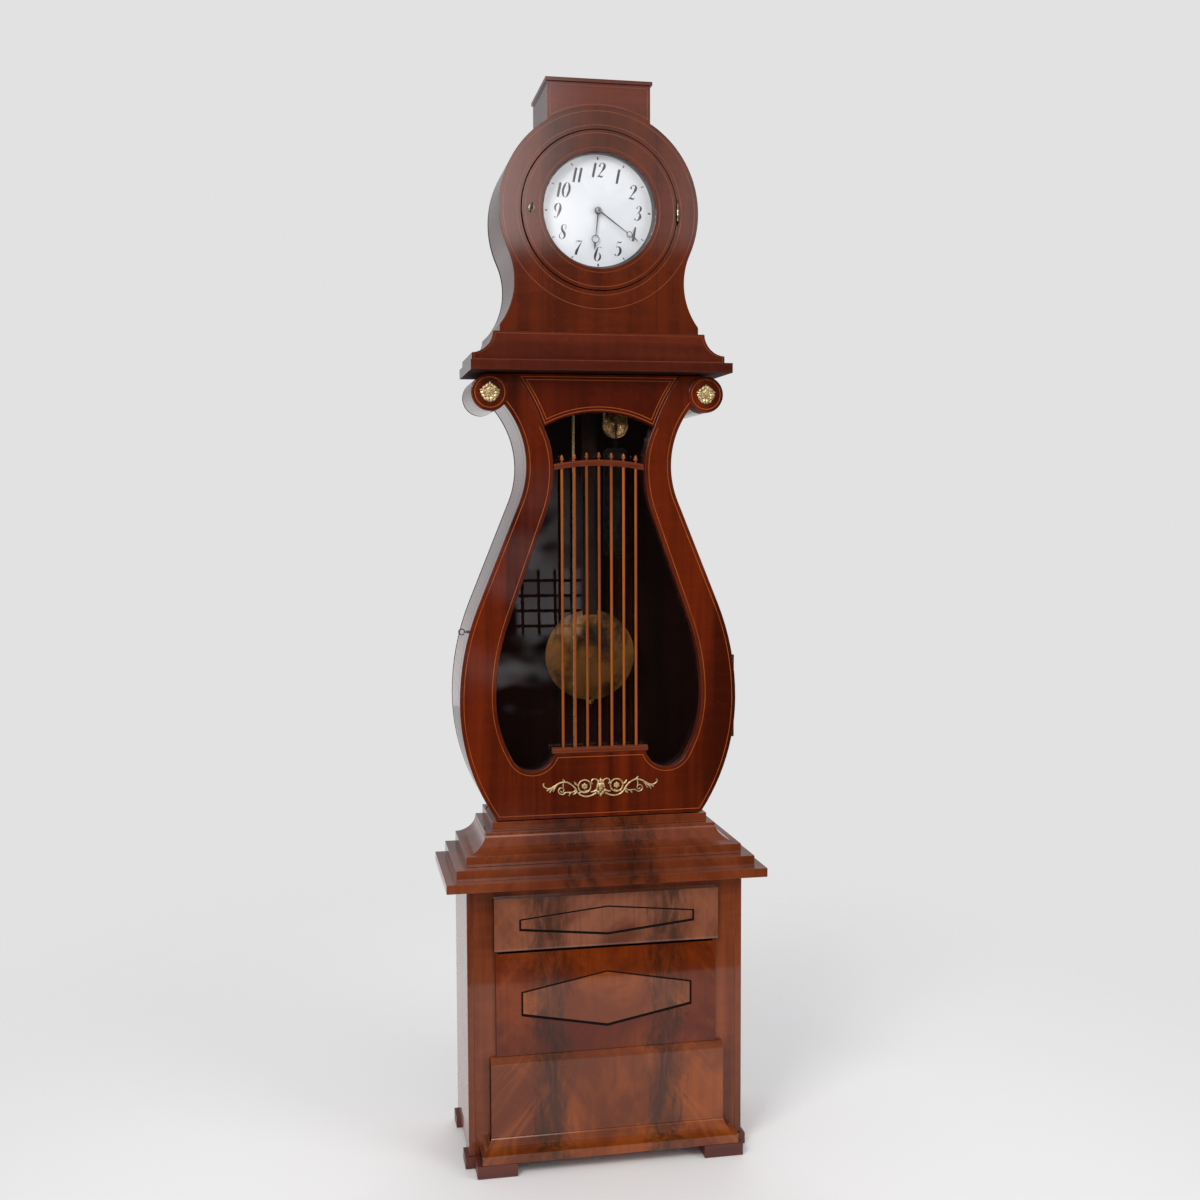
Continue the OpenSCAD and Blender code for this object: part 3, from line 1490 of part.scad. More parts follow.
// The anchor's crutch hangs behind the plates
module anchor() {
  inner = escape_r + pallet_gap;
  middle = inner + tooth_l;
  t = wheel_t + 1;
  color(steel) {
    on_arbor(escape_at, escape_depth + 0.5, t) {
      polygon(band([0, 0], middle + t / 2, t, pallet_a, 180 - pallet_a));
      for (a = [pallet_a + 2, 178 - pallet_a])
        polygon(band([0, 0], (middle + inner + 0.5) / 2, middle - inner + 0.5, a - 2, a + 2));
    }
    on_arbor(anchor_at, escape_depth + 0.5, t) circle(r = 2 * arbor_r);
    arbor(anchor_at, 0.7 * arbor_r);
    bar_y(anchor_at[0], anchor_at[1], pivot_r, back_plate_depth, crutch_depth - wheel_t);
    on_arbor(anchor_at, crutch_depth, wheel_t) {
      circle(r = 2 * pivot_r);
      translate([-pivot_r, -crutch_l]) square([2 * pivot_r, crutch_l]);
    }
    bar_y(anchor_at[0], anchor_at[1] - crutch_l + pivot_r, pivot_r, crutch_depth,
      pendulum_depth - rod_t / 2);
  }
}

module movement_plates() {
  cock_z = anchor_at[1] + 4 * pivot_r;
  color(brass) {
    for (d = [front_plate_depth, back_plate_depth])
      difference() {
        mid_box(plate_half_w, d, d - plate_t, plate_foot, plate_h);
        for (at = [great_at, centre_at, third_at, escape_at, anchor_at])
          bar_y(at[0], at[1], pivot_r + run_gap, d + 1, d - plate_t - 1);
      }
    both_sides() for (z = [plate_foot + 2 * pillar_r, plate_foot + plate_h - 3 * pillar_r])
      bar_y(plate_half_w - 1.1 * pillar_r, z, pillar_r, front_plate_depth - plate_t,
          back_plate_depth);
    bar_y(minute_at[0], minute_at[1], pivot_r, motion_depth + 2 * pinion_l - 2, front_plate_depth);
    mid_box(cock_w / 2, back_plate_depth - plate_t, pendulum_depth - pillar_r, cock_z,
      2 * pillar_r);
    mid_box(suspension_w / 2 + 2, pendulum_depth + pillar_r, pendulum_depth - pillar_r,
      anchor_at[1], cock_z - anchor_at[1]);
  }
}

module seat_board() {
  color(dark_wood) difference() {
    mid_box(head_waist_x - head_wall - 1, seat_depth, seat_depth - seat_l, seat_z, seat_t);
    for (x = [tail_x, drive_x])
      translate([x, face(rope_depth), seat_z - 1]) cylinder(r = rope_r + 3, h = seat_t + 2);
  }
}

module cannon_pinion() {
  color(brass) difference() {
    union() {
      on_arbor(centre_at, motion_depth + wheel_t + 1, wheel_t + 1)
        polygon(wheel_points(cannon_leaves, motion_module, 180 / cannon_leaves));
      bar_y(0, dial_z, cannon_pipe_r, minute_hand_depth + hand_t + 1, front_plate_depth + seat_gap);
    }
    bar_y(0, dial_z, pivot_r + run_gap, minute_hand_depth + 10, front_plate_depth - 1);
  }
}

module minute_wheel() {
  color(brass) difference() {
    union() {
      on_arbor(minute_at, motion_depth + wheel_t + 0.5, wheel_t)
        polygon(wheel_points(minute_teeth, motion_module, 180));
      on_arbor(minute_at, motion_depth + wheel_t + pinion_l, pinion_l)
        polygon(wheel_points(minute_leaves, motion_module, 180 + 180 / minute_leaves));
    }
    bar_y(minute_at[0], minute_at[1], pivot_r + run_gap, front_plate_depth + 20, front_plate_depth - 1);
  }
}

module hour_wheel() {
  color(brass) difference() {
    union() {
      on_arbor(centre_at, hour_wheel_depth, wheel_t)
        polygon(wheel_points(hour_teeth, motion_module, 0));
      bar_y(0, dial_z, hour_pipe_r, hour_hand_depth + hand_t + 0.5, hour_wheel_depth - wheel_t);
    }
    bar_y(0, dial_z, cannon_pipe_r + run_gap, hour_hand_depth + 10, motion_depth);
  }
}

// Pendulum
rod_foot = bob_z - 0.6 * bob_r;
rod_top = anchor_at[1] - suspension_l - nut_h;

module pendulum_rod() {
  color(mahogany) {
    difference() {
      mid_box(rod_w / 2, pendulum_depth + rod_t / 2, pendulum_depth - rod_t / 2,
        rod_foot, rod_top - rod_foot);
      bar_y(0, anchor_at[1] - crutch_l + pivot_r, pivot_r + run_gap, pendulum_depth + rod_t,
        pendulum_depth - rod_t);
    }
    mid_box(nut_r, pendulum_depth + rod_t / 2, pendulum_depth - rod_t / 2, rod_top - eps,
      nut_h + eps);
    mid_box(suspension_w / 2, pendulum_depth + suspension_t / 2, pendulum_depth - suspension_t / 2,
      rod_top, anchor_at[1] - seat_gap - rod_top);
    translate([0, face(pendulum_depth), bob_z - bob_r - 2 * nut_h])
      cylinder(r = thread_r, h = rod_foot - bob_z + bob_r + 2 * nut_h + 1);
  }
}

module pendulum_bob() {
  edge = 2;
  bulge = bob_t / 2 - edge;
  lens_r = (bob_r * bob_r + bulge * bulge) / (2 * bulge);
  a = asin(bob_r / lens_r);
  color(brass) difference() {
    translate([0, face(pendulum_depth), bob_z]) rotate([90, 0, 0])
      rotate_extrude() polygon(concat(
        arc([0, edge + bulge - lens_r], lens_r, 90 - a, 90),
        arc([0, lens_r - edge - bulge], lens_r, 270, 270 + a)));
    mid_box(rod_w / 2 + seat_gap, pendulum_depth + rod_t / 2 + seat_gap,
      pendulum_depth - rod_t / 2 - seat_gap, rod_foot - seat_gap, 2 * bob_r);
    translate([0, face(pendulum_depth), bob_z - 2 * bob_r])
      cylinder(r = thread_r + seat_gap, h = 2 * bob_r);
  }
}

module rating_nut() {
  color(brass) translate([0, face(pendulum_depth), bob_z - bob_r - seat_gap - nut_h]) difference() {
    cylinder(r = nut_r, h = nut_h);
    translate([0, 0, -1]) cylinder(r = thread_r + run_gap, h = nut_h + 2);
  }
}

// Rope and weights
module half_turn(x, z, r, up) {
  translate([x, face(rope_depth), z]) rotate([90, 0, 0]) rotate(up ? 0 : 180)
    rotate_extrude(angle = 180) translate([r, 0]) circle(r = rope_r);
}

module rope_run(x, foot, top) {
  translate([x, face(rope_depth), foot]) cylinder(r = rope_r, h = top - foot);
}

module weight_rope() {
  color(rope_tone) {
    for (x = [drive_x, pulley_x + pulley_rope_r]) rope_run(x, pulley_z, seat_z);
    half_turn(pulley_x, pulley_z, pulley_rope_r, false);
  }
}

module sheave_rope() {
  color(rope_tone) {
    for (x = [drive_x, tail_x]) rope_run(x, seat_z, great_at[1]);
    half_turn(great_at[0], great_at[1], sheave_r, true);
  }
}

module tail_rope() {
  color(rope_tone) rope_run(tail_x, ring_weight_z - 2 * rope_r, seat_z);
}

module weight_pulley() {
  core = pulley_rope_r - rope_r - seat_gap;
  side = groove_half_w + rope_r / 2;
  color(brass) translate([pulley_x, face(rope_depth), pulley_z]) rotate([90, 0, 0])
    rotate_extrude() polygon([
      [axle_r + run_gap, -side], [pulley_r, -side], [pulley_r, -groove_half_w],
      [core, -groove_half_w], [core, groove_half_w], [pulley_r, groove_half_w],
      [pulley_r, side], [axle_r + run_gap, side]]);
}

// The iron weight and the stirrup by which it hangs
module weight() {
  top = pulley_z - pulley_r - weight_drop;
  half = groove_half_w + rope_r / 2 + 2 * wire_r + 1;
  bar_z = (top + pulley_z - pulley_r) / 2;
  edge = weight_r / 6;
  color(iron) translate([pulley_x, face(rope_depth), 0]) {
    translate([0, 0, top - weight_h]) rotate_extrude() polygon([
      [0, 0], [weight_r - edge, 0], [weight_r, edge], [weight_r, weight_h - 2 * edge],
      [weight_r - 2 * edge, weight_h], [0, weight_h]]);
    translate([0, 0, top - 1]) cylinder(r = 2 * wire_r, h = bar_z - top + 1 + wire_r);
    translate([-3 * wire_r, -half - 2 * wire_r, bar_z])
      cube([6 * wire_r, 2 * half + 4 * wire_r, 2 * wire_r]);
    for (y = [-half, half])
      translate([0, y, bar_z + wire_r]) cylinder(r = wire_r, h = pulley_z - bar_z + wire_r);
    translate([0, half + 2 * wire_r, pulley_z]) rotate([90, 0, 0])
      cylinder(r = axle_r, h = 2 * half + 4 * wire_r);
  }
}

module ring_weight() {
  color(iron) translate([tail_x, face(rope_depth), ring_weight_z]) difference() {
    rotate_extrude() polygon([
      [0, 0], [ring_weight_r - rope_r, 0], [ring_weight_r, rope_r],
      [ring_weight_r, ring_weight_h - rope_r], [ring_weight_r - rope_r, ring_weight_h],
      [0, ring_weight_h]]);
    translate([0, 0, -1]) cylinder(r = rope_r + seat_gap, h = ring_weight_h + 2);
  }
}

feet();
base_bottom_board();
base_sides();
base_back_board();
base_front_frame();
frieze_panel();
middle_panel();
panel_fields();
plinth_panel();
cornice_boards();
cove_moulding();
trunk_plinth();
trunk_sides();
upper_back_boards();
trunk_door_frame();
trunk_door_crest();
trunk_door_glass();
trunk_door_stringing();
scroll_discs();
gilt_mounts();
lyre_bridge();
lyre_crossbar();
lyre_strings();
case_hinge_leaves();
trunk_door_hinge_leaves();
trunk_key();
head_slab();
head_plinth();
head_front_board();
head_sides();
top_box();
head_stringing();
head_door_ring();
head_door_glass();
head_door_stringing();
head_door_fittings();
head_key();
dial();
dial_mask();
minute_hand();
hour_hand();
movement_plates();
seat_board();
great_wheel();
centre_wheel();
third_wheel();
escape_wheel();
anchor();
cannon_pinion();
minute_wheel();
hour_wheel();
pendulum_rod();
pendulum_bob();
rating_nut();
weight_rope();
sheave_rope();
tail_rope();
weight_pulley();
weight();
ring_weight();
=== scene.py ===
# %% [markdown]
# # A longcase clock with a lyre-shaped trunk
# The clock is a tall mahogany case in four parts: a panelled base, a stepped cornice, a trunk
# whose door is a lyre with seven wooden strings, and a round-topped head with a white dial. The
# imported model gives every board, hinge and wheel in its right place. This lesson adds what a maker
# adds last: figured veneer, French polish, rounded edges, gilt mounts, the dial's numerals and the
# twisted rope.

# %% Load the frame
import math

import bmesh
import bpy
from mathutils import Matrix, Vector


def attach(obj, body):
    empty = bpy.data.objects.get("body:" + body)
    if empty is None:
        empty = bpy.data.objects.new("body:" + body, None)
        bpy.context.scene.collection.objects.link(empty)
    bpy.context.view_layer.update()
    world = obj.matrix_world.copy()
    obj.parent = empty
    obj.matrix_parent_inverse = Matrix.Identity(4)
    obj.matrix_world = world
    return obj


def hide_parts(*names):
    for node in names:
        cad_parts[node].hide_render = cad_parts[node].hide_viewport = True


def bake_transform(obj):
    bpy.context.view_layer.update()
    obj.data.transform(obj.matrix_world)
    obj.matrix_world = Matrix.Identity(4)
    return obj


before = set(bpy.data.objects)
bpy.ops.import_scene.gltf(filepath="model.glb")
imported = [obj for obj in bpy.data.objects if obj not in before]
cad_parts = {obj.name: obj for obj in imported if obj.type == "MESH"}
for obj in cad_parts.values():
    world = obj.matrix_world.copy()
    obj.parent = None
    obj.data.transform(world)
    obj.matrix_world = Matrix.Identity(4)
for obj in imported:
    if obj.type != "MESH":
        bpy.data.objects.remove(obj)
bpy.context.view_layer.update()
scene = bpy.context.scene

# %% [markdown]
# ## The camera
# The photograph was taken from the left of the clock, a little above its middle, with a lens of
# about 42 mm. The camera is set from measured numbers: a place, a heading, a small downward pitch
# and a slight roll. Building its matrix from three axes keeps the order of the turns plain.

# %% Place the camera
EYE = Vector((-0.59205, -3.04888, 1.42744))       # metres
HEADING, PITCH, ROLL = 0.194, -0.0675, -0.0036    # radians
SENSOR, FOCAL, WIDTH = 36, 1408.2, 1200           # millimetres, then two lengths in pixels
ahead = Vector((math.sin(HEADING), math.cos(HEADING), 0))
side = Vector((math.cos(HEADING), -math.sin(HEADING), 0))
upward = Vector((0, 0, 1))
look = math.cos(PITCH) * ahead + math.sin(PITCH) * upward
top = -math.sin(PITCH) * ahead + math.cos(PITCH) * upward
right = math.cos(ROLL) * side + math.sin(ROLL) * top
top = -math.sin(ROLL) * side + math.cos(ROLL) * top
camera = bpy.data.objects.new("camera", bpy.data.cameras.new("camera"))
camera.data.sensor_width = SENSOR
camera.data.lens = SENSOR * FOCAL / WIDTH
camera.matrix_world = Matrix((
    (right.x, top.x, -look.x, EYE.x),
    (right.y, top.y, -look.y, EYE.y),
    (right.z, top.z, -look.z, EYE.z),
    (0, 0, 0, 1)))
scene.collection.objects.link(camera)
scene.camera = camera
scene.view_settings.view_transform = "Standard"
print("lens", round(camera.data.lens, 2), "mm")

# %% [markdown]
# ## The ropes
# One rope drives the clock. It hangs from the seat board, runs round the weight's pulley and over
# the great wheel's sheave, and is kept tight by a ring weight on its other end. Real rope is laid:
# three strands wind round each other, and the light catches each turn. So each strand is a tube
# along its own helix, and the three are one mesh that follows the route of the plain rope in the
# CAD model.

# %% Measures of the ropes
MM = 0.001
BACK = 0.157          # Y of the case's back in metres; depths are measured forwards from it
ROPE_DEPTH = 120      # millimetres, as are the next ones
ROPE_R, LAY = 3.2, 22
DRIVE_X, FALL_X, TAIL_X = 75, 25, -45
PULLEY_X, PULLEY_R, SHEAVE_X, SHEAVE_R = 50, 25, -10, 35
SEAT_Z, PULLEY_Z, SHEAVE_Z, TAIL_Z = 1935.9, 1603.0, 2008.502, 113.6
ACROSS = Vector((0, 1, 0))
STRAND_SHARE = 0.464  # a strand's radius in the rope's, so that three touch each other
print("rope of", 2 * ROPE_R, "mm, one turn in", LAY, "mm")

# %% Points along the route
def spot(x, depth, z):
    """A point in metres from a width, a depth and a height in millimetres."""
    return Vector((x * MM, BACK - depth * MM, z * MM))


def straight(x, start, end, gap=10):
    steps = max(1, round(abs(end - start) / gap))
    return [(x, start + (end - start) * i / steps) for i in range(steps)]


def half_round(x, z, radius, first, last, steps=24):
    turns = [math.radians(first + (last - first) * i / steps) for i in range(steps)]
    return [(x + radius * math.cos(t), z + radius * math.sin(t)) for t in turns]


ROUTES = {
    "driving_rope": straight(DRIVE_X, SEAT_Z, PULLEY_Z)
    + half_round(PULLEY_X, PULLEY_Z, PULLEY_R, 0, -180)
    + straight(FALL_X, PULLEY_Z, SEAT_Z) + [(FALL_X, SEAT_Z)],
    "sheave_turn": straight(FALL_X, SEAT_Z, SHEAVE_Z)
    + half_round(SHEAVE_X, SHEAVE_Z, SHEAVE_R, 0, 180)
    + straight(TAIL_X, SHEAVE_Z, SEAT_Z) + [(TAIL_X, SEAT_Z)],
    "hanging_rope": straight(TAIL_X, SEAT_Z, TAIL_Z) + [(TAIL_X, TAIL_Z)],
}
print("rope routes", {name: len(route) for name, route in ROUTES.items()})

# %% Turn a drawn line into a mesh
def as_mesh(name, curve):
    maker = bpy.data.objects.new(name + "_line", curve)
    scene.collection.objects.link(maker)
    bpy.context.view_layer.update()
    seen = maker.evaluated_get(bpy.context.evaluated_depsgraph_get())
    mesh = bpy.data.meshes.new_from_object(seen)
    bpy.data.objects.remove(maker)
    mesh.name = name
    made = bpy.data.objects.new(name, mesh)
    scene.collection.objects.link(made)
    return made


def tube_curve(name, radius, sides):
    curve = bpy.data.curves.new(name, "CURVE")
    curve.dimensions = "3D"
    curve.bevel_depth, curve.bevel_resolution, curve.use_fill_caps = radius, sides, True
    return curve

# %% Lay the ropes
def lay_rope(name, knots, strands=3, per_turn=12):
    strand_r = STRAND_SHARE * ROPE_R * MM
    curve = tube_curve(name, strand_r, 1)
    line, gone = [], 0.0
    for start, end in zip(knots, knots[1:]):
        run = (end - start).length
        count = max(1, round(run / (LAY * MM / per_turn)))
        along = (end - start).normalized()
        line += [(start.lerp(end, i / count), along, gone + run * i / count) for i in range(count)]
        gone += run
    line.append((knots[-1], (knots[-1] - knots[-2]).normalized(), gone))
    for strand in range(strands):
        spline = curve.splines.new("POLY")
        spline.points.add(len(line) - 1)
        for knot, (middle, along, travelled) in zip(spline.points, line):
            turn = 2 * math.pi * (travelled / (LAY * MM) + strand / strands)
            out = along.cross(ACROSS) * math.cos(turn) + ACROSS * math.sin(turn)
            knot.co = (*(middle + out * (ROPE_R * MM - strand_r)), 1)
    return as_mesh(name, curve), gone


ropes = {}
for name, node in (("driving_rope", "weight_rope"), ("sheave_turn", "sheave_rope"),
                   ("hanging_rope", "tail_rope")):
    knots = [spot(x, ROPE_DEPTH, z) for x, z in ROUTES[name]]
    ropes[name], length = lay_rope(name, knots)
    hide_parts(node)
    print(name, round(length, 3), "m")
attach(ropes["sheave_turn"], "case")
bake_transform(ropes["driving_rope"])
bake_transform(ropes["hanging_rope"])

# %% [markdown]
# ## Building shader nodes
# Every finish below is a small tree of shader nodes. Adding a node by hand takes several lines, so
# one helper adds it and fills its sockets: a plain value is set, another node's output is linked.

# %% A helper that adds a node
def add(tree, kind, sockets=None, **settings):
    """Sockets go by name or number, and settings such as operation by their Python names."""
    made = tree.nodes.new("ShaderNode" + kind)
    for name, value in settings.items():
        setattr(made, name, value)
    for name, value in (sockets or {}).items():
        socket = made.inputs[name]
        if isinstance(value, bpy.types.NodeSocket):
            tree.links.new(value, socket)
        else:
            socket.default_value = value
    return made

# %% Helpers for sums, fades, noise and mixing
def calc(tree, operation, *values, clamp=False):
    made = add(tree, "Math", dict(enumerate(values)), operation=operation)
    made.use_clamp = clamp
    return made.outputs[0]


def times(tree, first, second):
    return calc(tree, "MULTIPLY", first, second)


def fade(tree, value, low, high, bottom=0.0, rise=1.0):
    return add(tree, "MapRange", {"Value": value, "From Min": low, "From Max": high,
                                  "To Min": bottom, "To Max": rise},
               interpolation_type="SMOOTHSTEP").outputs["Result"]


def noise(tree, where, stretch, scale, detail=3.0, roughness=0.5, distortion=0.0):
    moved = add(tree, "Mapping", {"Vector": where, "Scale": stretch})
    return add(tree, "TexNoise", {"Vector": moved.outputs[0], "Scale": scale, "Detail": detail,
                                  "Roughness": roughness, "Distortion": distortion}).outputs["Fac"]


def blend(tree, amount, first, second):
    """Two colours mixed; a Mix node keeps its colour sockets at the numbers 6, 7 and 2."""
    return add(tree, "Mix", {0: amount, 6: first, 7: second}, data_type="RGBA").outputs[2]

# %% Helpers for node groups
def group(name, **inputs):
    """A group that turns a place into a colour, a roughness and a height."""
    tree = bpy.data.node_groups.new(name, "ShaderNodeTree")
    tree.interface.new_socket("Vector", in_out="INPUT", socket_type="NodeSocketVector")
    for title, value in inputs.items():
        kind = "Color" if isinstance(value, tuple) else "Float"
        made = tree.interface.new_socket(title, in_out="INPUT", socket_type="NodeSocket" + kind)
        made.default_value = value
    for title, kind in (("Color", "Color"), ("Roughness", "Float"), ("Height", "Float")):
        tree.interface.new_socket(title, in_out="OUTPUT", socket_type="NodeSocket" + kind)
    entry, leave = tree.nodes.new("NodeGroupInput"), tree.nodes.new("NodeGroupOutput")
    return tree, entry.outputs, leave.inputs


def give(tree, outputs, **values):
    for name, value in values.items():
        tree.links.new(value, outputs[name])

# %% Helpers for materials
def principled(name, **shader):
    """A new material with its tree and shader; in a title an underscore stands for a space."""
    made = bpy.data.materials.new(name)
    made.use_nodes = True
    bsdf = made.node_tree.nodes["Principled BSDF"]
    for title, value in shader.items():
        bsdf.inputs[title.replace("_", " ")].default_value = value
    return made, made.node_tree, bsdf


def let_pass(tree, share):
    """Lets this share of the rays go straight through the material."""
    mixed = add(tree, "MixShader", {0: share, 1: tree.nodes["Principled BSDF"].outputs[0],
                                    2: add(tree, "BsdfTransparent").outputs[0]})
    tree.links.new(mixed.outputs[0], tree.nodes["Material Output"].inputs["Surface"])

# %% Colours as they look on a screen
def rgb(red, green, blue):
    """A colour as it looks on a screen, 0 to 255, turned into the light that Blender adds up."""
    def light(value):
        value /= 255
        return value / 12.92 if value <= 0.04045 else ((value + 0.055) / 1.055) ** 2.4
    return (light(red), light(green), light(blue), 1.0)


print("mahogany red as light:", [round(v, 3) for v in rgb(120, 60, 45)])

# %% [markdown]
# ## The studio
# The real clock stands on a white floor in front of a white wall, and its polish mirrors both,
# while the room in front of it is dark. The world copies that: rays that leave the camera meet
# plain pale grey, while rays that a polish or a pane sends on meet white behind, above and at the
# left, and in front a dark room. That room has one bright window high up, pale things low down at
# the left, and a shelf of boxes that shows in the lyre's pane. The lamps stay soft, so a colour
# renders about as it is written.

# %% The directions of the world
world = bpy.data.worlds.new("studio")
scene.world = world
world.use_nodes = True
tree = world.node_tree
tree.nodes.clear()
heading = add(tree, "TexCoord").outputs["Generated"]
axes = add(tree, "SeparateXYZ", {"Vector": heading}).outputs
in_front = fade(tree, axes["Y"], 0.1, -0.35)
not_left = fade(tree, axes["X"], -0.8, -0.45)
not_above = fade(tree, axes["Z"], 0.45, 0.25)
dim = times(tree, times(tree, in_front, not_left), not_above)
wall = blend(tree, fade(tree, axes["Z"], -0.12, 0.18), (0.80, 0.80, 0.81, 1),
             (0.40, 0.40, 0.41, 1))
print("directions of the room", len(tree.nodes), "nodes")

# %% The window high up in the dark room
high = fade(tree, axes["Z"], 0.168, 0.186)
ceiling = blend(tree, high, (0.016, 0.012, 0.010, 1), (1.05, 0.97, 0.88, 1))
far_window = times(tree, fade(tree, axes["X"], 0.22, 0.27, 0.0, 0.3), high)
near_window = times(tree, fade(tree, axes["X"], 0.19, 0.10), high)
window = calc(tree, "ADD", near_window, far_window)
pane_light = blend(tree, window, ceiling, (6.0, 5.8, 5.7, 1))
print("with the window", len(tree.nodes), "nodes")

# %% Pale things and a shelf of boxes low down
things = noise(tree, heading, (1, 1, 1.6), 9.0, 3, 0.6)
low_left = times(tree, fade(tree, axes["X"], 0.20, 0.13), fade(tree, axes["Z"], 0.05, -0.02))
upright = add(tree, "CombineXYZ", {"X": axes["X"], "Y": axes["Z"]}).outputs[0]
boxes = add(tree, "TexBrick", {
    "Vector": upright, "Color1": (1, 1, 1, 1), "Color2": (0.5, 0.5, 0.5, 1),
    "Mortar": (0, 0, 0, 1), "Scale": 1.0, "Mortar Size": 0.0011, "Brick Width": 0.0115,
    "Row Height": 0.0107}, offset=0.0).outputs["Color"]
shelf_x = times(tree, fade(tree, axes["X"], 0.181, 0.177), fade(tree, axes["X"], 0.132, 0.137))
shelf_z = times(tree, fade(tree, axes["Z"], -0.044, -0.047), fade(tree, axes["Z"], -0.094, -0.090))
shelf = times(tree, shelf_x, shelf_z)
room = times(tree, fade(tree, things, 0.50, 0.62), low_left)
room = times(tree, room, calc(tree, "SUBTRACT", 1.0, shelf))
room = calc(tree, "ADD", room, times(tree, shelf, boxes))
room = blend(tree, room, pane_light, (0.85, 0.80, 0.82, 1))
print("with the shelf", len(tree.nodes), "nodes")

# %% What each kind of ray sees
mirrored = blend(tree, dim, wall, room)
rays = add(tree, "LightPath").outputs
sharp = calc(tree, "MAXIMUM", rays["Is Glossy Ray"], rays["Is Transmission Ray"])
lit = blend(tree, sharp, (0.50, 0.50, 0.51, 1), mirrored)
shown = blend(tree, rays["Is Camera Ray"], lit, rgb(226, 226, 226))
sky = add(tree, "Background", {"Color": shown, "Strength": 1.0})
add(tree, "OutputWorld", {"Surface": sky.outputs[0]})
print("world nodes", len(tree.nodes))

# %% The lamps
def lamp(name, place, target, size, power, tint=(1, 1, 1)):
    data = bpy.data.lights.new(name, "AREA")
    data.shape, data.size, data.energy, data.color = "SQUARE", size, power, tint
    made = bpy.data.objects.new(name, data)
    made.location = place
    made.rotation_euler = (Vector(target) - Vector(place)).to_track_quat("-Z", "Y").to_euler()
    scene.collection.objects.link(made)
    return made


lamp("window_light", (-2.2, -2.8, 3.4), (0, 0, 1.1), 1.6, 78, (1.0, 0.98, 0.95))
fill = lamp("fill_light", (2.6, -2.6, 2.2), (0, 0, 1.1), 2.0, 38, (0.98, 0.98, 1.0))
rim = lamp("back_light", (0.6, 2.6, 3.0), (0, 0, 1.3), 2.0, 24)
fill.visible_glossy = rim.visible_glossy = False    # no square lamps mirrored in the polish

# %% [markdown]
# ## The floor
# The floor is one pale sheet that ends a little way in front of the clock, as the real one does:
# its edge is what cuts the mirror image in the base's panels. Further away it fades into the
# background, so that no horizon shows behind the clock.

# %% The sheet
FLOOR_HALF, FLOOR_MIDDLE, FLOOR_SUNK = 4.0, 2.74, 0.0005    # metres
shape = bmesh.new()
bmesh.ops.create_grid(shape, x_segments=1, y_segments=1, size=FLOOR_HALF)
bmesh.ops.translate(shape, vec=(0, FLOOR_MIDDLE, -FLOOR_SUNK), verts=shape.verts)
mesh = bpy.data.meshes.new("floor")
shape.to_mesh(mesh)
shape.free()
floor = bpy.data.objects.new("floor", mesh)
scene.collection.objects.link(floor)
print("floor", [round(v, 2) for v in floor.dimensions])

# %% Paper that fades out of sight
pale, tree, paper = principled("floor_paper", Base_Color=rgb(252, 252, 252), Roughness=0.8,
                               Specular_IOR_Level=0.2)
where = add(tree, "TexCoord").outputs["Object"]
flat = add(tree, "Mapping", {"Vector": where, "Scale": (1, 0.8, 0)})
away = add(tree, "VectorMath", {0: flat.outputs[0]}, operation="LENGTH").outputs["Value"]
depth = add(tree, "SeparateXYZ", {"Vector": where}).outputs["Y"]
far = calc(tree, "MAXIMUM", fade(tree, away, 0.7, 2.2), fade(tree, depth, -0.6, -1.2))
rays = add(tree, "LightPath").outputs
let_pass(tree, times(tree, far, rays["Is Camera Ray"]))
mesh.materials.append(pale)
print("paper", paper.inputs["Roughness"].default_value, "rough,", len(tree.nodes), "nodes")

# %% [markdown]
# ## Mahogany
# Plain mahogany has fine dark pores that run with the grain, a slow change from red to brown, and
# faint cross ripples under the polish. A solid pattern on Object coordinates runs through the
# board like real wood, so its faces and ends agree. Stretching noise along one axis turns blobs
# into grain. The head is veneered in upright strips, so Seam gives the distance from the middle
# where a strip ends: past it the wood is a little lighter, and a thin dark joint lies between.

# %% The grain group
tree, given, made = group("mahogany_grain", Light=(0.2, 0.05, 0.02, 1),
                          Dark=(0.05, 0.01, 0.005, 1), Figure=1.0, Gloss=0.22, Seam=9.0)
inside = given["Vector"]
slow = noise(tree, inside, (5, 5, 0.55), 1.6, 4, 0.55, 0.6)
ribbon = noise(tree, inside, (34, 34, 0.9), 1.0, 5, 0.6, 0.3)
ripple = noise(tree, inside, (5, 5, 42), 1.0, 2, 0.5, 0.8)
pores = noise(tree, inside, (900, 900, 26), 1.0, 2, 0.6)
tone = calc(tree, "ADD", times(tree, slow, 0.62), times(tree, ribbon, 0.38))
tone = fade(tree, tone, 0.34, 0.66)
wave = times(tree, fade(tree, ripple, 0.35, 0.7), given["Figure"])
tone = calc(tree, "ADD", tone, times(tree, wave, 0.22), clamp=True)
away = add(tree, "SeparateXYZ", {"Vector": inside}).outputs["X"]
away = calc(tree, "ABSOLUTE", away)
past = calc(tree, "GREATER_THAN", away, given["Seam"])
tone = calc(tree, "ADD", tone, times(tree, past, 0.18), clamp=True)
joint = calc(tree, "ABSOLUTE", calc(tree, "SUBTRACT", away, given["Seam"]))
wood = blend(tree, tone, given["Dark"], given["Light"])
wood = blend(tree, times(tree, fade(tree, joint, 0.0011, 0.0004), 0.6), wood,
             (0.012, 0.004, 0.002, 1))
pitted = fade(tree, pores, 0.60, 0.76)
wood = blend(tree, times(tree, pitted, 0.42), wood, (0.015, 0.004, 0.002, 1))
smudge = noise(tree, inside, (9, 9, 9), 1.0, 3, 0.6)
hollows = calc(tree, "MULTIPLY_ADD", pitted, -0.35, wave)
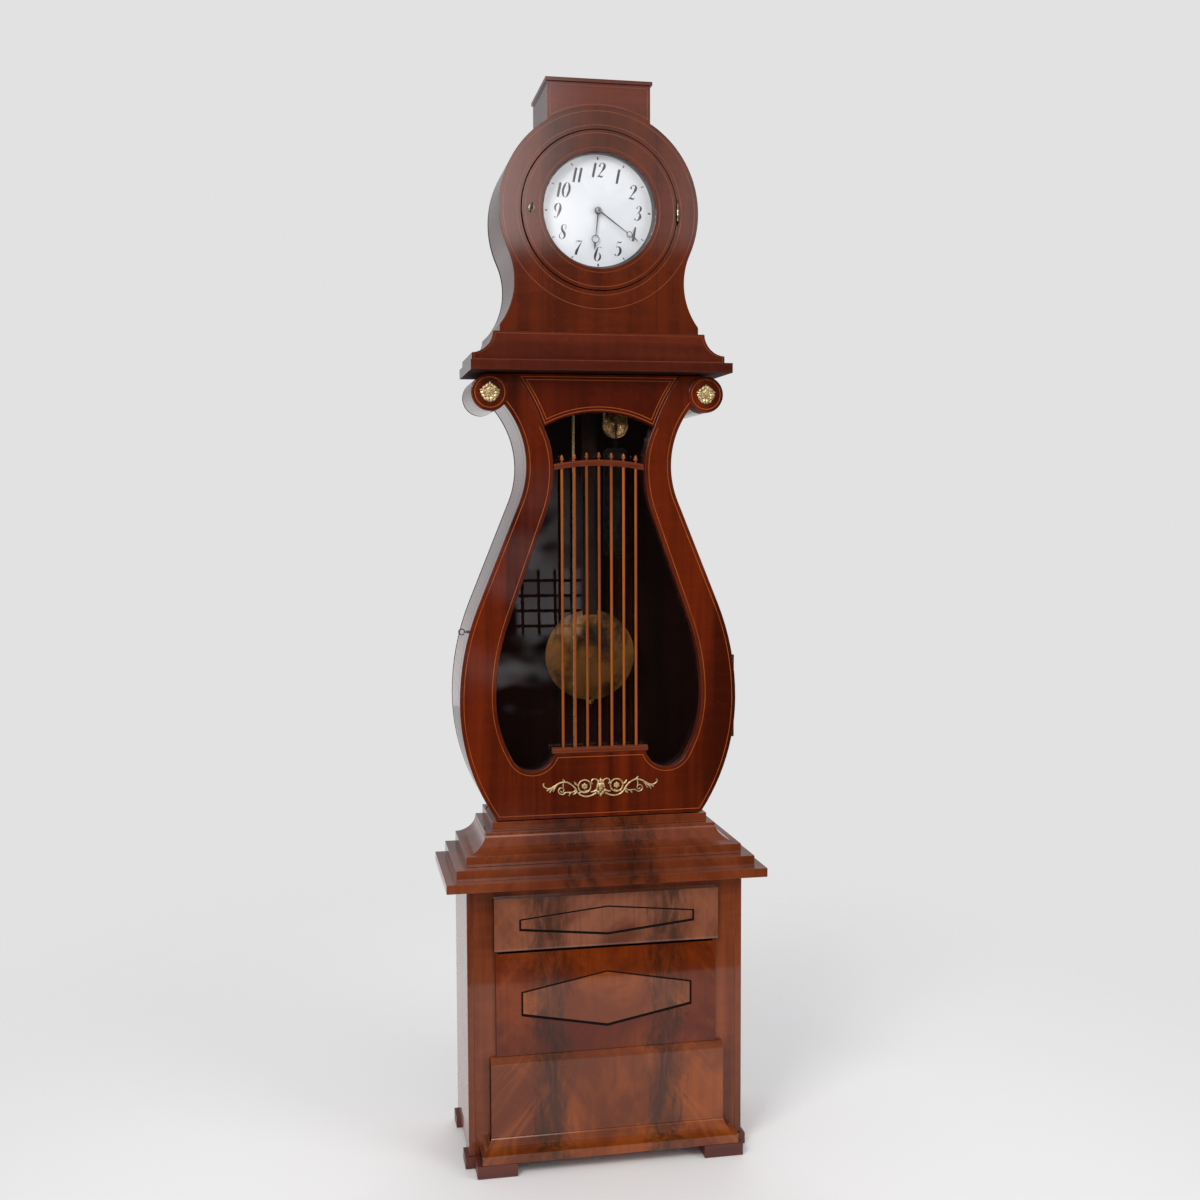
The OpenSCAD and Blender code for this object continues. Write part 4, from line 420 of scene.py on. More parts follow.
give(tree, made, Color=wood, Roughness=calc(tree, "ADD", given["Gloss"], times(tree, smudge, 0.10)),
     Height=calc(tree, "ADD", hollows, times(tree, smudge, 1.2)))
print("mahogany_grain", len(tree.nodes), "nodes")

# %% [markdown]
# ## Flame veneer
# The base's panels are cut from one crotch of the tree and opened like a book, so the left half
# mirrors the right. Two dark upright bands stand beside the middle, with bright flames that fan
# out of them. The mirror is made with the absolute value of X; a little noise keeps it from being
# too perfect.

# %% The flame group
tree, given, made = group("book_matched_flame", Light=(0.3, 0.09, 0.03, 1),
                          Middle=(0.17, 0.045, 0.02, 1), Dark=(0.03, 0.01, 0.006, 1),
                          Flame=(0.46, 0.15, 0.03, 1), Band=0.130, Gloss=0.2)
inside = given["Vector"]
axes = add(tree, "SeparateXYZ", {"Vector": inside}).outputs
drift = noise(tree, inside, (3, 3, 2.2), 1.0, 3, 0.55)
drift = calc(tree, "MULTIPLY_ADD", drift, 0.03, -0.015)
away = calc(tree, "ABSOLUTE", calc(tree, "ADD", axes["X"], drift))
leaned = calc(tree, "ADD", axes["Z"], times(tree, away, 1.15))
folded = add(tree, "CombineXYZ", {"X": away, "Y": axes["Y"], "Z": axes["Z"]}).outputs[0]
fanned = add(tree, "CombineXYZ", {"X": away, "Y": axes["Y"], "Z": leaned}).outputs[0]
ragged = noise(tree, folded, (12, 12, 7), 1.0, 8, 0.76, 2.2)
smoke = noise(tree, folded, (40, 40, 9), 1.0, 6, 0.68, 1.2)
fibres = noise(tree, folded, (150, 150, 5), 1.0, 4, 0.62, 0.3)
plumes = noise(tree, fanned, (5, 5, 17), 1.0, 6, 0.62, 1.1)
cloud = noise(tree, inside, (5, 5, 4), 1.0, 4, 0.6, 0.6)
gap = calc(tree, "ABSOLUTE", calc(tree, "SUBTRACT", away, given["Band"]))
gap = calc(tree, "ADD", gap, calc(tree, "MULTIPLY_ADD", ragged, -0.13, 0.065))
gap = calc(tree, "ADD", gap, calc(tree, "MULTIPLY_ADD", smoke, -0.05, 0.025))
band = fade(tree, gap, 0.060, 0.012)
band = times(tree, band, fade(tree, smoke, 0.34, 0.62, 0.25, 1.0))
outer = calc(tree, "MULTIPLY_ADD", fade(tree, away, 0.11, 0.20), 0.65, 0.06)
flame = times(tree, fade(tree, plumes, 0.46, 0.68), outer)
wood = blend(tree, fade(tree, cloud, 0.39, 0.61), given["Middle"], given["Light"])
wood = blend(tree, times(tree, fade(tree, fibres, 0.40, 0.64), 0.28), wood, given["Middle"])
wood = blend(tree, times(tree, flame, 0.5), wood, given["Flame"])
wood = blend(tree, times(tree, band, 0.78), wood, given["Dark"])
pores = noise(tree, inside, (900, 900, 30), 1.0, 2, 0.6)
wood = blend(tree, times(tree, fade(tree, pores, 0.60, 0.78), 0.3), wood, given["Dark"])
smudge = noise(tree, inside, (8, 8, 8), 1.0, 3, 0.6)
give(tree, made, Color=wood, Roughness=calc(tree, "ADD", given["Gloss"], times(tree, smudge, 0.12)),
     Height=calc(tree, "ADD", times(tree, fibres, 0.25), smudge))
print("book_matched_flame", len(tree.nodes), "nodes")

# %% [markdown]
# ## Making materials of them
# A material gives the group its colours and turns the pattern, so that the grain runs up a post
# and along a shelf. The polish is the shader's own coat, because French polish is a clear film on
# wood. Colours are written as they look on a screen, because that is how a colour is matched.

# %% A helper that makes a finish of a group
UP, ALONG = (0, 0, 0), (0, math.pi / 2, 0)


def finish_from(name, group_name, sockets, turn=UP, shift=(0, 0, 0), bump=0.10, reach=0.0006,
                **shader):
    made, tree, bsdf = principled(name, **shader)
    where = add(tree, "TexCoord").outputs["Object"]
    placed = add(tree, "Mapping", {"Vector": where, "Rotation": turn, "Location": shift})
    pattern = add(tree, "Group", node_tree=bpy.data.node_groups[group_name])
    tree.links.new(placed.outputs[0], pattern.inputs["Vector"])
    for title, value in sockets.items():
        pattern.inputs[title].default_value = value
    tree.links.new(pattern.outputs["Color"], bsdf.inputs["Base Color"])
    tree.links.new(pattern.outputs["Roughness"], bsdf.inputs["Roughness"])
    raised = add(tree, "Bump", {"Strength": bump, "Distance": reach,
                                "Height": pattern.outputs["Height"]})
    tree.links.new(raised.outputs[0], bsdf.inputs["Normal"])
    return made


POLISH = {"Coat_Weight": 0.7, "Coat_Roughness": 0.05, "Specular_IOR_Level": 0.08}
GLOSS_POLISH = {"Coat_Weight": 1.0, "Coat_Roughness": 0.04, "Specular_IOR_Level": 0.08}
RAW = {"Specular_IOR_Level": 0.1}


def grained(name, light, dark, figure, shader=POLISH, gloss=0.22, seam=9.0, **more):
    return finish_from(name, "mahogany_grain", {"Light": rgb(*light), "Dark": rgb(*dark),
                                                "Figure": figure, "Gloss": gloss, "Seam": seam},
                       **more, **shader)


def flamed(name, light, middle, dark, streak=None, shader=POLISH, band=0.130, **more):
    sockets = {"Light": rgb(*light), "Middle": rgb(*middle), "Dark": rgb(*dark), "Band": band}
    if streak:
        sockets["Flame"] = rgb(*streak)
    return finish_from(name, "book_matched_flame", sockets, **more, **shader)

# %% Polished mahogany
mahogany_along = grained("mahogany_lengthways", (128, 56, 26), (76, 26, 10), 0.6, turn=ALONG)
lyre_wood = grained("lyre_mahogany", (110, 36, 7), (58, 14, 3), 0.5, shift=(0.4, 0, 0.3), bump=0.04)
head_wood = grained("head_mahogany", (92, 32, 6), (52, 14, 2), 1.2, seam=0.125, shift=(0, 0, 0.8))
head_side_wood = grained("head_side_mahogany", (100, 38, 14), (60, 18, 6), 0.6, bump=0.01)
# The crest's copy is darker: painted shade, because the crest stands at an angle away from the
# light.
shaded_crest_wood = grained("crest_mahogany_painted_shade", (86, 23, 4), (52, 10, 2), 0.5, shift=(0.1, 0, 0.7))
cross_wood = grained("head_ripple", (100, 38, 20), (62, 20, 9), 0.7, turn=ALONG,
                     shift=(0.7, 0, 0.2))
side_wood = grained("base_side_mahogany", (128, 62, 34), (84, 36, 18), 0.6, bump=0.01)
stile_wood = grained("stile_mahogany", (134, 66, 34), (84, 36, 18), 0.8, gloss=0.3,
                     shift=(0.2, 0, 0.5))
line_wood = grained("stringing", (176, 92, 42), (138, 62, 26), 0.2, turn=ALONG, bump=0.03)
faint_line = grained("faint_stringing", (142, 74, 42), (108, 48, 26), 0.2, turn=ALONG, bump=0.03)
string_wood = grained("string_wood", (176, 94, 34), (124, 62, 20), 0.3, bump=0.05)
print("grain of the lyre:", lyre_wood.name)

# %% Flame veneers
flame = flamed("flame_veneer", (128, 52, 5), (88, 28, 2), (34, 18, 6), (150, 68, 10))
plinth_flame = flamed("plinth_veneer", (146, 70, 18), (104, 44, 10), (44, 26, 14), (176, 92, 34),
                      GLOSS_POLISH)
# The frieze's copy is greyed and milky: its own veneer with the frieze's hazy reflection painted in.
frieze_flame_and_reflection = flamed("frieze_veneer_and_painted_reflection", (140, 86, 64), (98, 54, 40), (54, 38, 32), (152, 88, 52),
                      GLOSS_POLISH, shift=(0, 0, 0.3))
field_flame = flamed("field_veneer", (156, 78, 24), (112, 48, 12), (50, 32, 20),
                     shader=GLOSS_POLISH)
flame_board = flamed("flame_cornice", (124, 58, 28), (92, 38, 18), (42, 20, 12), (140, 70, 34),
                     band=0.07)
print("veneer of the panels:", flame.name)

# %% Woods without polish
carcase_wood = grained("carcase_wood", (58, 24, 17), (30, 11, 8), 0.2, RAW, gloss=0.6)
# The inner boards are near black: painted shade for the dark inside of the case, since the panes let
# shadow rays through.
shaded_inner_wood = grained("shaded_inner_wood", (36, 13, 10), (18, 6, 5), 0.2, {"Specular_IOR_Level": 0.05},
                     gloss=0.7)
foot_wood = grained("foot_paint", (100, 44, 32), (74, 30, 22), 0.2, {"Coat_Weight": 0.1},
                    gloss=0.42, turn=ALONG)
dull_wood = grained("dull_mahogany", (90, 30, 12), (50, 14, 6), 0.3, RAW, gloss=0.5)
rod_wood = grained("rod_wood", (44, 27, 20), (24, 14, 11), 0.2, RAW, gloss=0.6)
# Near-black painted shade, for the grooves round the hexagons and the panels' shadowed edges.
painted_shade_black = grained("painted_shade_black", (13, 8, 6), (7, 4, 3), 0.2, RAW, gloss=0.5)
print("wood materials", len([m for m in bpy.data.materials if m.node_tree]))

# %% [markdown]
# ## Metal, rope, glass and paint
# Old brass is never one colour: handling dulls it in clouds and leaves brown in the hollows. One
# group makes that change, and each metal gives it a clean and a dull colour. Turned pieces show
# fine circles from the lathe, so their group measures the distance from the turning axis.

# %% The patina group
tree, given, made = group("patina", Clean=(0.6, 0.4, 0.15, 1), Dull=(0.2, 0.12, 0.05, 1),
                          Size=30.0, Gloss=0.25, Turning=0.0)
inside = given["Vector"]
flat = add(tree, "Mapping", {"Vector": inside, "Scale": (1, 0, 1)})
radius = add(tree, "VectorMath", {0: flat.outputs[0]}, operation="LENGTH").outputs["Value"]
rings = calc(tree, "SINE", times(tree, radius, 2600.0))
rings = times(tree, rings, given["Turning"])
clouds = add(tree, "TexNoise", {"Vector": inside, "Scale": given["Size"], "Detail": 5.0,
                                "Roughness": 0.6}).outputs["Fac"]
fine = add(tree, "TexNoise", {"Vector": inside, "Scale": 700.0, "Detail": 2.0}).outputs["Fac"]
dulled = fade(tree, clouds, 0.38, 0.66)
metal = blend(tree, dulled, given["Clean"], given["Dull"])
metal = blend(tree, calc(tree, "MULTIPLY", rings, 0.18, clamp=True), metal, given["Dull"])
rough = calc(tree, "ADD", given["Gloss"], times(tree, dulled, 0.18))
give(tree, made, Color=metal, Roughness=rough,
     Height=calc(tree, "ADD", times(tree, fine, 0.4), rings))
print("patina", len(tree.nodes), "nodes")

# %% A helper for metal and paint
def aged(name, clean, dull, size, gloss, metallic, bump, reach=0.0001, turning=0.0, **more):
    return finish_from(name, "patina", {"Clean": rgb(*clean), "Dull": rgb(*dull), "Size": size,
                                        "Gloss": gloss, "Turning": turning},
                       bump=bump, reach=reach, Metallic=metallic, **more)

# %% Metals
brass = aged("old_brass", (186, 156, 100), (120, 92, 54), 30, 0.25, 1.0, 0.15, 0.0002)
fitting_brass = aged("fitting_brass", (176, 164, 140), (84, 74, 62), 200, 0.25, 1.0, 0.15, 0.0002)
gilding = aged("gilding", (232, 212, 168), (188, 162, 114), 160, 0.38, 1.0, 0.03, 0.0002)
bob_brass = aged("bob_brass", (134, 90, 42), (42, 28, 18), 14, 0.38, 0.85, 0.1, turning=1.0,
                 shift=(0, 0, -1.087))
pulley_brass = aged("pulley_brass", (150, 116, 76), (80, 58, 38), 60, 0.25, 0.9, 0.25, 0.0003,
                    turning=1.0, shift=(-0.05, 0, -1.603))
steel = aged("grey_steel", (112, 112, 116), (66, 64, 66), 90, 0.35, 0.9, 0.1)
hand_steel = aged("hand_steel", (78, 78, 84), (44, 44, 50), 90, 0.4, 0.8, 0.1)
boss_steel = aged("boss_steel", (158, 158, 164), (120, 120, 126), 90, 0.4, 0.6, 0.1)
dark_brass = aged("dark_brass", (110, 84, 52), (52, 38, 26), 120, 0.25, 1.0, 0.1, 0.0002)
iron = aged("cast_iron", (20, 17, 16), (10, 8, 8), 60, 0.7, 0.2, 0.5, 0.0006,
            Specular_IOR_Level=0.15)
print("metals", brass.name, gilding.name, steel.name, iron.name)

# %% Paint, ink and rope
dial_paint = aged("dial_paint", (240, 243, 248), (222, 226, 232), 6, 0.34, 0.0, 0.03)
mask_paint = aged("mask_paint", (92, 90, 96), (60, 56, 62), 12, 0.5, 0.0, 0.05)
ink = aged("numeral_ink", (44, 42, 46), (24, 22, 26), 80, 0.45, 0.0, 0.05)
fibre = aged("rope_fibre", (176, 150, 112), (96, 78, 60), 260, 0.75, 0.0, 0.6, 0.0004)
print("paint and fibre", dial_paint.name, ink.name, fibre.name)

# %% [markdown]
# ## Glass
# The panes are real sheets with two faces, so plain transmission bends light as glass does. Shadow
# rays pass straight through, because otherwise the dial behind the pane would stand in the dark.

# %% The glass
pane, tree, sheet = principled("window_glass", Base_Color=(0.97, 0.98, 0.98, 1), Roughness=0.0,
                               IOR=1.45, Transmission_Weight=1.0)
rays = add(tree, "LightPath").outputs
let_pass(tree, calc(tree, "MAXIMUM", rays["Is Shadow Ray"], rays["Is Diffuse Ray"]))
print("glass", pane.name, sheet.inputs["IOR"].default_value)

# %% [markdown]
# ## Which board gets which finish
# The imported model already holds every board. A node whose shape is right keeps it and only gets a
# finish: its material slots are filled with the new material. Where several nodes share a finish,
# the list goes by finish, as a polisher would lay the parts out on the bench.

# %% The list of finishes
FINISH_OF = {
    "feet": foot_wood, "base_sides": side_wood, "base_front_frame": stile_wood,
    "frieze_panel": frieze_flame_and_reflection, "middle_panel": flame, "panel_fields": field_flame,
    "plinth_panel": plinth_flame, "trunk_door_crest": shaded_crest_wood, "head_sides": head_side_wood,
    "trunk_door_stringing": line_wood, "gilt_mounts": gilding, "lyre_strings": string_wood,
    "upper_back_boards": shaded_inner_wood, "head_door_fittings": fitting_brass, "dial": dial_paint,
    "dial_mask": mask_paint, "pendulum_rod": rod_wood, "pendulum_bob": bob_brass,
    "weight_pulley": pulley_brass,
}
for finish, nodes in (
        (carcase_wood, "base_bottom_board base_back_board seat_board"),
        (flame_board, "cornice_boards cove_moulding trunk_plinth"),
        (lyre_wood, "trunk_sides trunk_door_frame scroll_discs"),
        (mahogany_along, "lyre_bridge lyre_crossbar"),
        (cross_wood, "head_slab head_plinth top_box"),
        (head_wood, "head_front_board head_door_ring"),
        (faint_line, "head_stringing head_door_stringing"),
        (pane, "trunk_door_glass head_door_glass"),
        (dark_brass, "case_hinge_leaves trunk_door_hinge_leaves"),
        (steel, "trunk_key anchor"),
        (hand_steel, "head_key minute_hand hour_hand"),
        (brass, "movement_plates great_wheel centre_wheel third_wheel escape_wheel cannon_pinion"
                " minute_wheel hour_wheel rating_nut"),
        (fibre, "weight_rope sheave_rope tail_rope"),
        (iron, "weight ring_weight")):
    FINISH_OF.update(dict.fromkeys(nodes.split(), finish))
print("finishes listed", len(FINISH_OF))

# %% Dress the nodes
for name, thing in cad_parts.items():
    for place in thing.material_slots:
        place.material = FINISH_OF[name]
print("dressed", len(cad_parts), "nodes")

# %% [markdown]
# ## Making pieces
# Each new piece is a bmesh that is written into a mesh, gets its finish and rides on a body. Edges
# sharper than 35 degrees stay crisp and the rest is shaded smooth.

# %% A helper that finishes a piece
def settle(made, body, finish, slot, *nodes, crisp=35):
    made.data.materials.clear()
    made.data.materials.append(finish)
    made.data.shade_smooth()
    made.data.set_sharp_from_angle(angle=math.radians(crisp))
    if nodes:
        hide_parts(*nodes)
    if body:
        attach(made, body)
    return made


def from_shape(name, shape, *rest, **more):
    mesh = bpy.data.meshes.new(name)
    shape.to_mesh(mesh)
    shape.free()
    made = bpy.data.objects.new(name, mesh)
    scene.collection.objects.link(made)
    return settle(made, *rest, **more)


for made in ropes.values():
    settle(made, None, fibre, "rope")
print("ropes dressed")

# %% [markdown]
# ## Rounded edges
# No joiner leaves an edge sharp: it would splinter, and it wears round anyway. The rounding is
# small, yet it is what draws a bright line along every board. The CAD boards are exact and sharp,
# so a copy of each is merged into clean faces and its edges are bevelled. The shading is then
# weighted by area, so that the broad faces stay mirror flat and only the narrow bevels look round.
# A few pieces show a second finish on some faces: painted black shade on a panel's side faces and
# the frieze's underside, where they stand in shadow; the frieze's veneer, with its painted
# reflection, on its own field; bare wood under the head, darker to paint the shade under the slab;
# and dull wood in the door's reveal. A small test of each face's middle and facing picks them.

# %% Copies with rounded edges
def rounded(node, body, width, slot, segments=2, sharp=30):
    shape = bmesh.new()
    shape.from_mesh(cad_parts[node].data)
    bmesh.ops.remove_doubles(shape, verts=shape.verts, dist=1e-5)
    bmesh.ops.dissolve_limit(shape, angle_limit=math.radians(0.5), verts=shape.verts,
                             edges=shape.edges)
    edges = [edge for edge in shape.edges
             if len(edge.link_faces) == 2 and edge.calc_face_angle(0.0) > math.radians(sharp)]
    bmesh.ops.bevel(shape, geom=edges, offset=width * MM, offset_type="OFFSET", segments=segments,
                    profile=0.5, affect="EDGES", clamp_overlap=False, material=-1)
    made = from_shape(node + "_rounded", shape, body, FINISH_OF[node], slot, node, crisp=50)
    broad = made.modifiers.new("broad_faces_lead", "WEIGHTED_NORMAL")
    broad.weight, broad.keep_sharp = 100, True
    return made

# %% Which pieces, and how round in millimetres
ROUNDED = (
    ("case", "dark_wood", {"feet": 1.2}),
    ("case", "mahogany", {"base_sides": 0.8, "base_front_frame": 0.8}),
    ("case", "flame_mahogany", {"frieze_panel": 0.7, "middle_panel": 0.7, "panel_fields": 0.8,
                                "plinth_panel": 1.2}),
    ("case", "mahogany", {"cornice_boards": 1.0, "cove_moulding": 0.8, "trunk_plinth": 0.8}),
    ("trunk_door", "mahogany", {"trunk_door_frame": 1.4, "scroll_discs": 1.2,
                                "lyre_crossbar": 3.5, "lyre_bridge": 1.0}),
    ("case", "mahogany", {"head_slab": 0.8, "head_plinth": 0.8, "head_front_board": 0.9,
                          "top_box": 0.8}),
    ("head_door", "mahogany", {"head_door_ring": 1.2}),
)
print("pieces to round", sum(len(widths) for body, slot, widths in ROUNDED))

# %% Faces that get a second finish
FRIEZE_BOTTOM, SILL_TOP = 0.469, 0.905    # metres: under the upper hexagon, over the door's sill
SECOND_FINISH = {
    # Painted shade: black on the panels' side faces and the frieze's underside, where they stand in
    # shadow.
    "frieze_panel": (painted_shade_black, lambda at, facing: abs(facing.x) > 0.7 or facing.z < -0.7),
    "middle_panel": (painted_shade_black, lambda at, facing: abs(facing.x) > 0.7),
    "plinth_panel": (painted_shade_black, lambda at, facing: abs(facing.x) > 0.9),
    "panel_fields": (frieze_flame_and_reflection, lambda at, facing: at.z > FRIEZE_BOTTOM),
    # Painted shade: the slab's underside takes the darker bare wood, where shade falls under the
    # head.
    "head_slab": (carcase_wood, lambda at, facing: facing.z < -0.5),
    "trunk_door_frame": (dull_wood, lambda at, facing: abs(facing.y) < 0.5 and (
        facing.x * at.x < -0.01 or (facing.z > 0.3 and at.z < SILL_TOP))),
}
print("second finishes", sorted(SECOND_FINISH))

# %% Round them
for body, slot, widths in ROUNDED:
    for node, width in widths.items():
        made = rounded(node, body, width, slot, segments=4 if width > 3 else 2)
        if node in SECOND_FINISH:
            second, chosen = SECOND_FINISH[node]
            made.data.materials.append(second)
            for face in made.data.polygons:
                face.material_index = int(chosen(face.center, face.normal))
    print("rounded on", body, "in", slot, list(widths))

# %% [markdown]
# ## Turned parts
# Anything made on a lathe is a profile spun round its axis. The profile is a row of points in the
# XZ plane, joined by edges, and bmesh's spin sweeps it once round and merges the seam.

# %% A helper that turns a profile
def turned(shape, profile, middle, axis=(0, 0, 1), steps=20):
    """The profile's points are (radius, height along the axis) in millimetres."""
    lean = Vector((0, 0, 1)).rotation_difference(Vector(axis)).to_matrix().to_4x4()
    place = Matrix.Translation(middle) @ lean
    verts = [shape.verts.new(place @ Vector((r * MM, 0, h * MM))) for r, h in profile]
    edges = [shape.edges.new(pair) for pair in zip(verts, verts[1:])]
    bmesh.ops.spin(shape, geom=verts + edges, cent=middle, axis=axis, dvec=(0, 0, 0),
                   angle=2 * math.pi, steps=steps, use_merge=True, use_duplicate=False)


def close_up(shape):
    bmesh.ops.remove_doubles(shape, verts=shape.verts, dist=1e-6)
    bmesh.ops.recalc_face_normals(shape, faces=shape.faces)

# %% Strings with acorn knobs
STRING_DEPTH, STRING_PITCH, STRING_R = 185, 27.3, 3.1
BRIDGE_TOP, BAR_MIDDLE, BAR_ARC, BAR_HALF = 896.5, 1518.8, 515.05, 6.75
SUNK_IN = 0.3      # millimetres that strings and knobs enter the wood
ACORN = [(0, 0), (2.9, 0), (2.9, 1.0), (1.5, 1.8), (1.5, 4.6), (3.9, 5.2), (4.6, 6.4), (4.5, 7.8),
         (3.4, 8.5), (2.8, 8.7), (3.3, 9.8), (3.3, 11.4), (2.6, 13.6), (1.5, 15.4), (0.7, 16.3),
         (0.5, 17.0), (0, 17.3)]


def bar_height(x, off):
    """Height of the crossbar's lower or upper face at x."""
    return BAR_MIDDLE - BAR_ARC + math.sqrt((BAR_ARC + off) ** 2 - x * x)


shape = bmesh.new()
for i in range(-3, 4):
    x = i * STRING_PITCH
    low, high = BRIDGE_TOP - SUNK_IN, bar_height(x, -BAR_HALF) + SUNK_IN
    turned(shape, [(0, 0), (STRING_R, 0), (STRING_R, high - low), (0, high - low)],
           spot(x, STRING_DEPTH, low), steps=14)
    turned(shape, ACORN, spot(x, STRING_DEPTH, bar_height(x, BAR_HALF) - SUNK_IN), steps=16)
close_up(shape)
made = from_shape("strings_and_acorns", shape, "trunk_door", string_wood, "string_wood",
                  "lyre_strings")
print("strings and acorns", len(made.data.polygons), "faces")

# %% Rings on the pulley and the boss of the hands
def facing_front(name, profile, middle, steps, *rest):
    shape = bmesh.new()
    turned(shape, profile, middle, axis=(0, -1, 0), steps=steps)
    close_up(shape)
    from_shape(name, shape, *rest)


PULLEY_FACE, BOSS_FACE, HANDS_Z = 125.1, 194.2, 2057.9
RINGS = [(4.2, 0), (5.2, 1.4), (7.4, 1.4), (8.2, 0.5), (11, 0.3), (12, 0.9), (13.2, 0.9), (14, 0.2),
         (17, 0.2), (18, 0.8), (19.4, 0.8), (20.2, 0.2), (23.4, 0.2), (24.4, 0.9), (27.2, 0.9),
         (28.2, 0)]
facing_front("pulley_rings", RINGS, spot(PULLEY_X, PULLEY_FACE, PULLEY_Z), 48,
             "pulley", pulley_brass, "brass")
facing_front("hands_boss", [(2.2, 2.4), (5.6, 2.0), (6.6, 1.0), (6.8, 0), (2.2, 0), (2.2, 2.4)],
             spot(0, BOSS_FACE, HANDS_Z), 32, "centre_arbor", boss_steel, "blued_steel")
facing_front("hands_pin", [(0, 4.2), (1.2, 4.1), (1.7, 3.4), (1.7, 2.2), (2.2, 2.1), (2.2, 0),
                           (0, 0)],
             spot(0, BOSS_FACE, HANDS_Z), 24, "centre_arbor", hand_steel, "blued_steel")
print("turned parts done")

# %% [markdown]
# ## Painted shade in the grooves round the hexagons
# Each hexagon on the base is a field in a sunk bed, and the moat round it is painted black as its
# shade, broader along the lower edges, where the recess's lower wall stands in shadow. A hexagon is
# filled, its middle is inset, moved up a little and deleted, and the frame that is left gets a
# thickness.

# %% Black frames of painted shade
def groove(name, half_w, half_mid, half_end, z, depth, wide=3.9, sunk=1.4, thick=0.5):
    shape = bmesh.new()
    corners = [(half_w, -half_end), (half_w, half_end), (0, half_mid), (-half_w, half_end),
               (-half_w, -half_end), (0, -half_mid)]
    shape.faces.new([shape.verts.new(spot(x, depth, z + up)) for x, up in corners])
    shape.normal_update()      # the inset runs along the face's normal, which starts out as zero
    inner = bmesh.ops.inset_region(shape, faces=shape.faces[:], thickness=wide * MM,
                                   use_boundary=True, use_even_offset=True)
    middle = [face for face in shape.faces if face not in inner["faces"]]
    # The middle moves up, so the frame of painted shade is broader along the lower edges.
    bmesh.ops.translate(shape, vec=(0, 0, sunk * MM),
                        verts=list({v for face in middle for v in face.verts}))
    bmesh.ops.delete(shape, geom=middle, context="FACES_ONLY")
    bmesh.ops.solidify(shape, geom=shape.faces[:], thickness=thick * MM)
    bmesh.ops.recalc_face_normals(shape, faces=shape.faces)
    from_shape(name, shape, "case", painted_shade_black, "dark_wood")


FRIEZE_Z, MIDDLE_Z = 529.5, 354.5
groove("frieze_groove", 193.2, 32.2, 12.7, FRIEZE_Z, 266.4)
groove("middle_groove", 188.9, 61.9, 26.4, MIDDLE_Z, 259.9)
print("grooves at", FRIEZE_Z, MIDDLE_Z)

# %% [markdown]
# ## Drawing with a round pen
# Numerals and cast scrolls are strokes that swell and thin out. A Bezier curve with a radius at
# each point draws them, and the tube that Blender makes of it is then pressed flat. The points are
# millimetres across, millimetres up, and the stroke's half width.

# %% A helper that draws strokes
def drawn(name, strokes, middle, press, body, finish, slot, *nodes, fine=3, steps=6):
    curve = tube_curve(name, 1.0, fine)
    curve.resolution_u = steps
    for stroke in strokes:
        closed = len(stroke) > 2 and stroke[0] == stroke[-1]
        knots = stroke[:-1] if closed else stroke
        spline = curve.splines.new("BEZIER")
        spline.bezier_points.add(len(knots) - 1)
        for knot, (x, up, radius) in zip(spline.bezier_points, knots):
            knot.co, knot.radius = (x, 0, up), radius
        for knot in spline.bezier_points:
            knot.handle_left_type = knot.handle_right_type = "AUTO"
        spline.use_cyclic_u = closed
    made = as_mesh(name, curve)
    made.data.transform(Matrix.Translation(middle) @ Matrix.Diagonal((MM, press * MM, MM, 1)))
    return settle(made, body, finish, slot, *nodes, crisp=60)

# %% [markdown]
# ## The dial's print
# The dial carries plain numbers from 1 to 12, written upright with strong swells and hair-thin
# joins, and a tick at each hour. Each digit is a few strokes in a cell one unit high; they are
# scaled to the dial, leaned a little and set round its centre.

# %% The digits
DIGITS = {
    "1": [[(.30, 0, .07), (.30, .5, .075), (.32, .98, .07)],
          [(.12, .82, .015), (.22, .90, .02), (.32, .98, .05)]],
    "2": [[(.08, .74, .07), (.12, .90, .03), (.30, .99, .025), (.50, .86, .07), (.50, .68, .08),
           (.34, .40, .04), (.08, .06, .02)],
          [(.06, .05, .03), (.25, .09, .06), (.42, .04, .05), (.56, .14, .02)]],
    "3": [[(.10, .82, .05), (.18, .96, .02), (.34, .99, .03), (.46, .84, .07), (.42, .64, .05),
           (.24, .54, .015)],
          [(.24, .54, .015), (.46, .46, .05), (.54, .26, .08), (.42, .06, .05), (.24, 0, .02),
           (.08, .14, .055)]],
    "4": [[(.42, 0, .07), (.42, .5, .075), (.42, .98, .05)],
          [(.42, .98, .02), (.22, .6, .02), (.04, .30, .02)],
          [(.02, .29, .025), (.3, .29, .025), (.60, .30, .025)]],
    "5": [[(.14, .98, .03), (.32, .93, .05), (.50, .98, .03)], [(.14, .98, .02), (.12, .58, .02)],
          [(.12, .58, .02), (.32, .63, .04), (.52, .42, .08), (.48, .14, .07), (.28, 0, .02),
           (.08, .12, .055)]],
    "6": [[(.48, .92, .04), (.30, .97, .02), (.14, .70, .06), (.08, .36, .08), (.16, .08, .05),
           (.32, 0, .02), (.50, .12, .06), (.52, .36, .06), (.34, .55, .02), (.14, .42, .02)]],
    "7": [[(.06, .84, .03), (.10, .97, .02), (.30, .93, .05), (.56, .97, .02)],
          [(.56, .97, .02), (.38, .55, .05), (.26, .25, .08), (.24, 0, .07)]],
    "8": [[(.50, .86, .03), (.32, 1, .02), (.14, .84, .05), (.20, .64, .07), (.44, .40, .08),
           (.52, .20, .06), (.32, 0, .02), (.08, .16, .04), (.14, .40, .02), (.40, .62, .02),
           (.50, .86, .03)]],
    "0": [[(.30, 0, .02), (.08, .25, .07), (.08, .75, .07), (.30, 1, .02), (.52, .75, .07),
           (.52, .25, .07), (.30, 0, .02)]],
}
